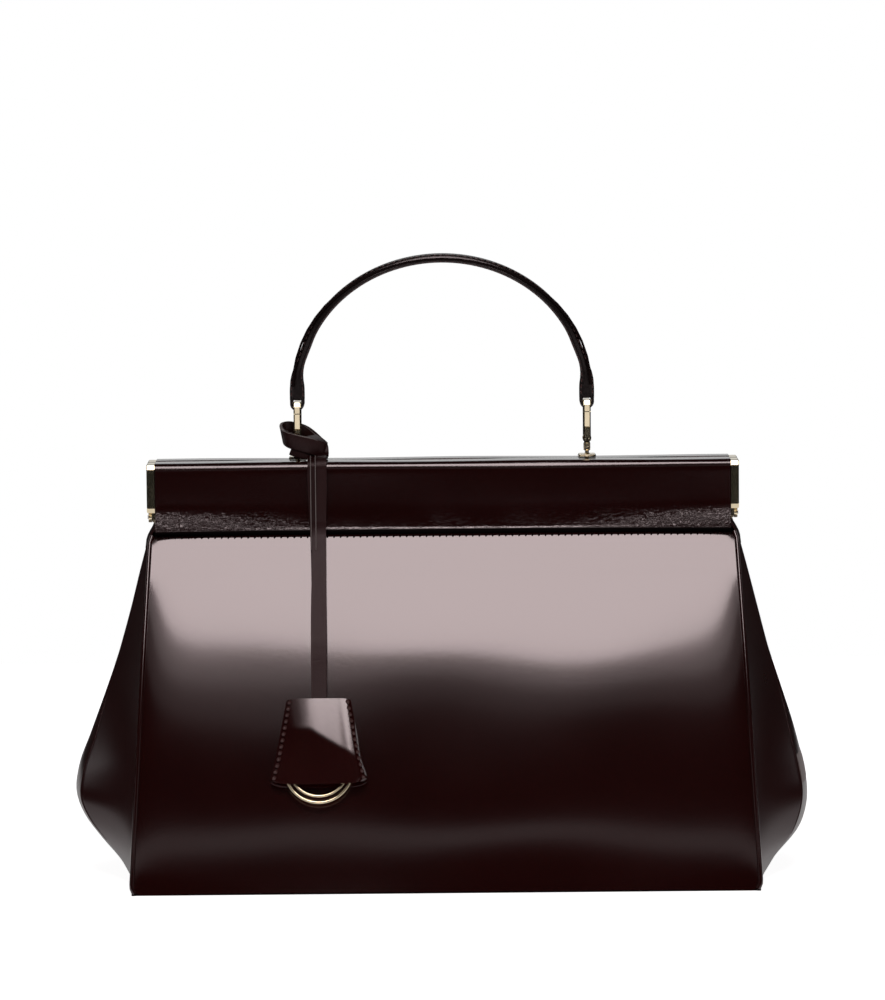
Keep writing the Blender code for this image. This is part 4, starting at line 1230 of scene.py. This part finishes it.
# %% Posts
BARREL_RISE = 0.0018
BARREL_HEIGHT = 0.0042
RIDGE_STEPS = 40
RIDGE_DEPTH = 0.00018
EYE_DROP = 0.0023
EYE_RADIUS = 0.00175
POST_PLATE_INSET = 0.0005
POST_PLATE_EDGE = 0.0007
POST_PLATE_ROUND = 0.0008


def make_post(word):
    low, high = corners("post_" + word)
    x = (low[0] + high[0]) / 2
    (x0, y0, z0), (x1, y1, z1) = corners("fixing_plate_" + word)
    barrel = z1 + BARREL_RISE
    cap = barrel + BARREL_HEIGHT
    profile = [
        (0.0012, low[2]), (0.0012, z1 - 0.0003), (0.0017, z1), (0.0011, z1 + 0.0003),
        (0.0010, barrel - 0.0002), (0.0015, barrel), (0.0018, barrel + 0.0003), (0.0018, cap - 0.0004),
        (0.0015, cap), (0.0015, cap + 0.0005),
    ]
    rings = []
    for radius, z in profile:
        ridge = RIDGE_DEPTH if radius == 0.0018 else 0
        turns = [(radius - ridge * (i % 2), 2 * math.pi * i / RIDGE_STEPS) for i in range(RIDGE_STEPS)]
        rings.append([(x + r * math.cos(a), HANDLE_Y + r * math.sin(a), z) for r, a in turns])
    gold_piece("post " + word, loft(rings), "rear_frame", ("post_" + word,))
    path = []
    for a in np.linspace(0, 2 * math.pi, 28, endpoint=False):
        path.append((x + EYE_RADIUS * math.cos(a), HANDLE_Y, high[2] - EYE_DROP + EYE_RADIUS * math.sin(a)))
    eye = sweep(path, bevelled(0.0040, 0.0011, 0.0002), (0, 1, 0), closed=True)
    gold_piece("post eye " + word, eye, "rear_frame")
    rings = []
    for z, inset in ((z0, 0), (z1 - 0.0001, POST_PLATE_INSET), (z1, POST_PLATE_EDGE)):
        pairs = rounded_box(x1 - x0 - 2 * inset, y1 - y0 - 2 * inset, POST_PLATE_ROUND, 4)
        rings.append([((x0 + x1) / 2 + a, (y0 + y1) / 2 + b, z) for a, b in pairs])
    nodes = ("fixing_plate_" + word,)
    gold_piece("post plate " + word, loft(rings), "rear_frame", nodes, GOLD_SHARP)


for word, place in SIDES:
    make_link(word)
    make_post(word)

# %% [markdown]
# ## The strap and its knot
# A thin strap is doubled, its loop goes round the left link, and both tails pass through the loop
# and hang over the frame's front half. It is swept as a flat section along a smooth line. Each
# leaf is one length from the fold to the ring.

# %% Strap measures
FOLD_LOW, FOLD_HIGH = corners("strap_fold")
BELL_LOW, BELL_HIGH = corners("bell_front_leaf")
BACK_LOW, BACK_HIGH = corners("bell_back_leaf")
RING_LOW, RING_HIGH = corners("key_ring")
STRAP_X = (FOLD_LOW[0] + FOLD_HIGH[0]) / 2
STRAP_WIDTH = FOLD_HIGH[0] - FOLD_LOW[0]
SHOULDER_Z = FOLD_LOW[2]
STRAP = 0.0012
STRAP_PAIR = 0.0027
STRAP_APART = 0.00072
STRAP_CLEAR = 0.0006
BELL_MIDDLE = (np.minimum(BELL_LOW, BACK_LOW) + np.maximum(BELL_HIGH, BACK_HIGH)) / 2
RING_MIDDLE = (RING_LOW + RING_HIGH) / 2
LEAN = math.atan2(BELL_MIDDLE[1] - RING_MIDDLE[1], BELL_MIDDLE[2] - RING_MIDDLE[2])
DOWN = np.array((0, -math.sin(LEAN), -math.cos(LEAN)))
OUT = np.array((0, -math.cos(LEAN), math.sin(LEAN)))
HANG_Z = 0.124
FOLD_ROUND = COVER_ROUND + STRAP_CLEAR + STRAP_PAIR / 2
FOLD_Y, FOLD_Z = -(MOUTH_Y - COVER_ROUND), FRAME_TOP - COVER_ROUND
FOLD_START = FOLD_Y + 0.0060
print("strap lean %.1f degrees" % math.degrees(LEAN))


def strap_middle(z):
    """The middle of the doubled strap's thickness, as y, at a height on its free run."""
    plane = BELL_MIDDLE[1] + (min(z, HANG_Z) - BELL_MIDDLE[2]) * math.tan(LEAN)
    top_y = -(MOUTH_Y + STRAP_CLEAR + STRAP_PAIR / 2)
    return plane + (top_y - plane) * clamp((z - HANG_Z) / (BAND_FOOT - HANG_Z))


# %% Strap lengths
LEAF_SECTION = rounded_box(1.0, STRAP, 0.00045, 2)
FLAT_SECTION = [(math.copysign(0.5, across), deep) for across, deep in LEAF_SECTION]
SPLAY = through((0.045, 0.10, 0.160, 0.180, 0.200, 0.225), (0.0002, 0.0002, 0.0003, 0.0009, 0.0018, 0.0019))
NARROW = through((0.045, 0.165, 0.180, 0.200, 0.225), (1, 1, 0.86, 0.74, 0.74))
SWING = ("bag_body", "charm", (0, 0, SHOULDER_Z + 0.003), (0, 0, SHOULDER_Z - 0.005))
TOP_ROUTE = [(FOLD_START, FOLD_Z + FOLD_ROUND), (FOLD_Y + 0.003, FOLD_Z + FOLD_ROUND)]
for angle in np.linspace(QUARTER, math.pi, 6):
    TOP_ROUTE.append((FOLD_Y + FOLD_ROUND * math.cos(angle), FOLD_Z + FOLD_ROUND * math.sin(angle)))
LOW_ROUTE = [(FOLD_Y - FOLD_ROUND, z) for z in np.linspace(FRAME_TOP - 0.006, BAND_FOOT + 0.003, 6)]
for z in np.linspace(BAND_FOOT - 0.003, BELL_MIDDLE[2] + 0.005, 14):
    LOW_ROUTE.append((strap_middle(z), z))


def strap_run(route):
    """The strap's middle line, and which way its front face looks."""
    route = smooth_path([(0, y, z) for y, z in route], 6)
    tangent = unit(np.gradient(route, axis=0))
    return route, np.stack([np.zeros(len(route)), tangent[:, 2], -tangent[:, 1]], axis=1)


LEAVES = (("front", 1, ("strap_front_leaf", "strap_fold")), ("back", -1, ("strap_back_leaf",)))
for word, layer, nodes in LEAVES:
    route, front = strap_run(TOP_ROUTE + LOW_ROUTE)
    path = route + front * layer * STRAP_APART
    path[:, 0] = [STRAP_X + layer * SPLAY(z) for z in route[:, 2]]
    widths = [STRAP_WIDTH * (NARROW(z) if layer > 0 else 1.0) for z in route[:, 2]]
    shape = sweep(path, FLAT_SECTION, (1, 0, 0), widths=widths)
    piece("strap %s leaf" % word, shape, STRAP_CALF, SWING, nodes)

# Two pale lines down the front of the strap from the fold: painted highlights, standing in for the leaves'
# edges lit from the side.
run, front = strap_run(TOP_ROUTE[3:] + LOW_ROUTE[:8])
for name, across in (("38", -0.0038), ("13", -0.0013)):
    line = run + front * 0.0018 + np.array((STRAP_X + across, 0, 0))
    shape = sweep(line, rounded_box(0.0005, 0.0007, 0.0002, 2), (1, 0, 0))
    piece("strap fold edge " + name, shape, PAINTED_EDGE_HIGHLIGHT, SWING)

# %% Knot
KNOT_X = -LINK_X
KNOT_WIDTH = 0.0084
KNOT_LEAN = 0.10
# Places from the left link's middle and the top of the frame
BAND_RING = (
    (-0.0076, -0.0040, 0.0122), (-0.0045, -0.0088, 0.0106), (0.0015, -0.0110, 0.0090),
    (0.0080, -0.0116, 0.0074), (0.0134, -0.0098, 0.0052), (0.0150, -0.0040, 0.0042),
    (0.0136, 0.0020, 0.0050), (0.0096, 0.0076, 0.0076), (0.0030, 0.0110, 0.0122),
    (-0.0036, 0.0100, 0.0142), (-0.0076, 0.0050, 0.0140),
)
UNDER_TURN = (
    (-0.0030, -0.0078, 0.0062), (0.0010, -0.0096, 0.0048), (0.0060, -0.0100, 0.0041),
    (0.0120, -0.0090, 0.0042),
)


def by_the_knot(places, closed=False):
    return smooth_path([(KNOT_X + x, HANDLE_Y + y, FRAME_TOP + z) for x, y, z in places], 8, closed)


knot_path = by_the_knot(BAND_RING, True)
outward = unit(knot_path - knot_path.mean(axis=0))
knot_side = unit(np.array((0, 0, 1.0)) + outward * KNOT_LEAN + np.array((-KNOT_LEAN, 0, 0)))
shape = sweep(knot_path, rounded_box(KNOT_WIDTH, 0.0014, 0.0005), knot_side, closed=True)
piece("strap loop round the link", shape, STRAP_CALF, "rear_frame", ("strap_knot",))
shape = sweep(by_the_knot(UNDER_TURN), rounded_box(0.0072, 0.0013, 0.0005), (0.1, 0.15, 1))
piece("strap turn under the loop", shape, STRAP_CALF, "rear_frame")
# A pale cord along the loop's edge: a real cut edge, and its light colour is a painted highlight.
rim = knot_path + knot_side * KNOT_WIDTH / 2
shape = sweep(rim, rounded_box(0.0004, 0.0015, 0.00015, 1), knot_side, closed=True)
piece("strap loop cut edge", shape, PAINTED_EDGE_HIGHLIGHT, "rear_frame")


def knot_tail(word, layer):
    """The stretch from inside the loop to the top of the frame's front half."""
    x = STRAP_X + layer * 0.0019
    top = FRAME_TOP + (1 + layer) * 0.0007
    line = smooth_path([
        (KNOT_X + 0.0056 + layer * 0.001, HANDLE_Y + 0.0012, top + 0.0100),
        (x - 0.0024, HANDLE_Y - 0.0042, top + 0.0080), (x - 0.0004, HANDLE_Y - 0.0078, top + 0.0056),
        (x, FOLD_START + 0.0018, top + 0.0026), (x, FOLD_START, FOLD_Z + FOLD_ROUND + layer * STRAP_APART),
    ])
    shape = sweep(line, LEAF_SECTION, (1, 0.15, 0), widths=STRAP_WIDTH * 1.02)
    blend = ("rear_frame", "bag_body", (0, HANDLE_Y - 0.001, 0), (0, FOLD_START, 0))
    piece("strap tail %s of the knot" % word, shape, STRAP_CALF, blend)


knot_tail("front", 1)
knot_tail("back", -1)

# %% [markdown]
# ## The key bell
# Two trapezoid leaves are stitched down their slanted sides and left open below, where the key
# ring shows. The front leaf stands up like a low tent, which bends its reflections.

# %% Bell
BELL_HANG = 0.0020
BELL_LENGTH = 0.0418 / math.cos(LEAN)
BELL_LEAF = 0.0014
BELL_ROWS = np.linspace(0, 1, 33)
BELL_COLUMNS = np.linspace(-1, 1, 37)
BACK_DROP = 0.0012
STITCH_INSET = 0.0019
BELL_TENT = through(
    (-1, -0.85, -0.32, -0.18, 0.2, 0.55, 0.82, 0.92, 1), (0, 0.3, 0.96, 1.0, 1.0, 0.98, 0.94, 0.75, 0)
)
half_width = through(
    (0, 0.25, 0.5, 0.78, 0.90, 0.97, 1.0), (0.0165, 0.0184, 0.0205, 0.0230, 0.0243, 0.0245, 0.0236)
)


def bell_swell(across, share, sign):
    """How far a leaf stands out. The front leaf has a ridge that climbs from left to right."""
    if sign < 0:
        along = 0.35 + 0.65 * math.sin(math.pi * min(1, 0.12 + share * 0.75))
        return 0.00015 + 0.0020 * (1 - across ** 4) * along
    turn = 0.36 + 0.32 * clamp((across + 0.25) / 1.1)
    rise = min(share, turn) - 0.5 * max(share - turn, 0)
    return 0.0002 + 0.0018 * BELL_TENT(across) * (0.42 + 1.7 * rise)


def bell_leaf(word, sign, drop):
    rows = []
    for share in BELL_ROWS:
        row = []
        for across in BELL_COLUMNS:
            rounded = 0.0016 * abs(across) ** 6 * share ** 10 - 0.0009 * abs(across) ** 8 * (1 - share) ** 10
            down = BELL_HANG + BELL_LENGTH * (share - 0.5) + drop * share - rounded
            place = BELL_MIDDLE + DOWN * down + OUT * sign * (bell_swell(across, share, sign) + BELL_LEAF)
            place[0] = STRAP_X + half_width(share) * across
            row.append(place)
        rows.append(row)
    shape = skin(rows, BELL_LEAF, BELL_MIDDLE)
    piece("key bell %s leaf" % word, shape, BELL_CALF, "clochette", ("bell_%s_leaf" % word,))
    return rows


front_rows = bell_leaf("front", 1, 0)
bell_leaf("back", -1, BACK_DROP)
lines = []
for word, place in SIDES:
    edge = []
    for row, share in list(zip(front_rows, BELL_ROWS))[1:-2]:
        near = row[1] if place < 0 else row[-2]
        x = STRAP_X + place * (half_width(share) - STITCH_INSET)
        edge.append((x, near[1] - 0.00012, near[2] + 0.00005))
    lines.append(edge)
stitch_lines(
    "key bell stitches", lines, "clochette", pitch=0.00325, thread=0.0011, length=0.0033,
    tilt=0.8,
)

# %% Key ring
RING_RADIUS = (RING_HIGH[0] - RING_LOW[0]) / 2 - 0.0012
RING_STEPS = 150
RING_TURNS = 2.0
RING_DROP = 0.0018
COIL_SHRINK = 0.0010
COIL_LIFT = 0.0008
WIRE = 0.00075
STEP_START = 0.46
STEP_LENGTH = 0.08
LOOP_REACH = 0.0026


def make_key_ring():
    """A split ring: one wire wound twice round, its ends side by side at the top."""
    path = []
    for share in np.linspace(0, 1, RING_STEPS + 1):
        angle = 2 * math.pi * RING_TURNS * share + 0.1
        step = smooth_step((share - STEP_START) / STEP_LENGTH) * 2 - 1
        radius = RING_RADIUS - (1 - step) * COIL_SHRINK
        spot = RING_MIDDLE + OUT * step * WIRE * 0.98 + DOWN * (RING_DROP + (step - 1) * COIL_LIFT)
        path.append(spot - DOWN * radius * math.cos(angle) + np.array((radius * math.sin(angle), 0, 0)))
    ends = [0.6] + [1.0] * (RING_STEPS - 1) + [0.6]
    shape = sweep(path, rounded_box(2 * WIRE, 2 * WIRE, 0.00055), OUT, widths=ends, depths=ends)
    gold_piece("split key ring", shape, "ring", ("key_ring",))


def make_ring_loop():
    top = RING_MIDDLE - DOWN * (RING_RADIUS + 0.0004)
    angles = np.linspace(0, 2 * math.pi, 28, endpoint=False) - 0.15
    path = [top + LOOP_REACH * (OUT * math.sin(a) - DOWN * math.cos(a)) for a in angles]
    shape = sweep(path, rounded_box(0.0050, 0.0009, 0.0004), (1, 0, 0), closed=True)
    piece("strap end loop", shape, STRAP_CALF, "charm", ("strap_ring_loop",))


make_key_ring()
make_ring_loop()

# %% [markdown]
# ## The ground
# The photograph is on plain white, with only a faint shadow where the bag touches. A pale floor
# under the bag gives that shadow.

# %% Floor
FLOOR_START = 0.12
FLOOR_SIDE = 0.75
FLOOR_FRONT = -1.0
FLOOR_BACK = 0.75
FLOOR_COLOUR = (0.9, 0.9, 0.9, 1)
FLOOR_NEAR = 0.92
MIRRORED_WHITE = 0.45


def make_floor():
    """White everywhere, with a little of its white left to the lights close to the bag."""
    made, tree = new_material("pale floor")
    away = node(tree, "VectorMath", own_place(tree), operation="LENGTH").outputs["Value"]
    reach = node(
        tree, "MapRange", interpolation_type="SMOOTHSTEP", Value=away, From_Min=FLOOR_START,
        From_Max=FLOOR_SIDE, To_Min=FLOOR_NEAR, To_Max=1.0,
    ).outputs[0]
    ray = node(tree, "LightPath").outputs["Is Camera Ray"]
    seen = calculate(tree, "MULTIPLY_ADD", ray, 1 - MIRRORED_WHITE, MIRRORED_WHITE)
    surface(
        tree, Roughness=1.0, Specular_IOR_Level=0.0, Base_Color=FLOOR_COLOUR, Emission_Color=WHITE,
        Emission_Strength=calculate(tree, "MULTIPLY", reach, seen),
    )
    mesh = bpy.data.meshes.new("floor")
    spots = [(x, y, 0) for y in (FLOOR_FRONT, FLOOR_BACK) for x in (-FLOOR_SIDE, FLOOR_SIDE)]
    mesh.from_pydata([spots[k] for k in (0, 1, 3, 2)], [], [(0, 1, 2, 3)])
    mesh.materials.append(made)
    add_object("floor", mesh)


make_floor()
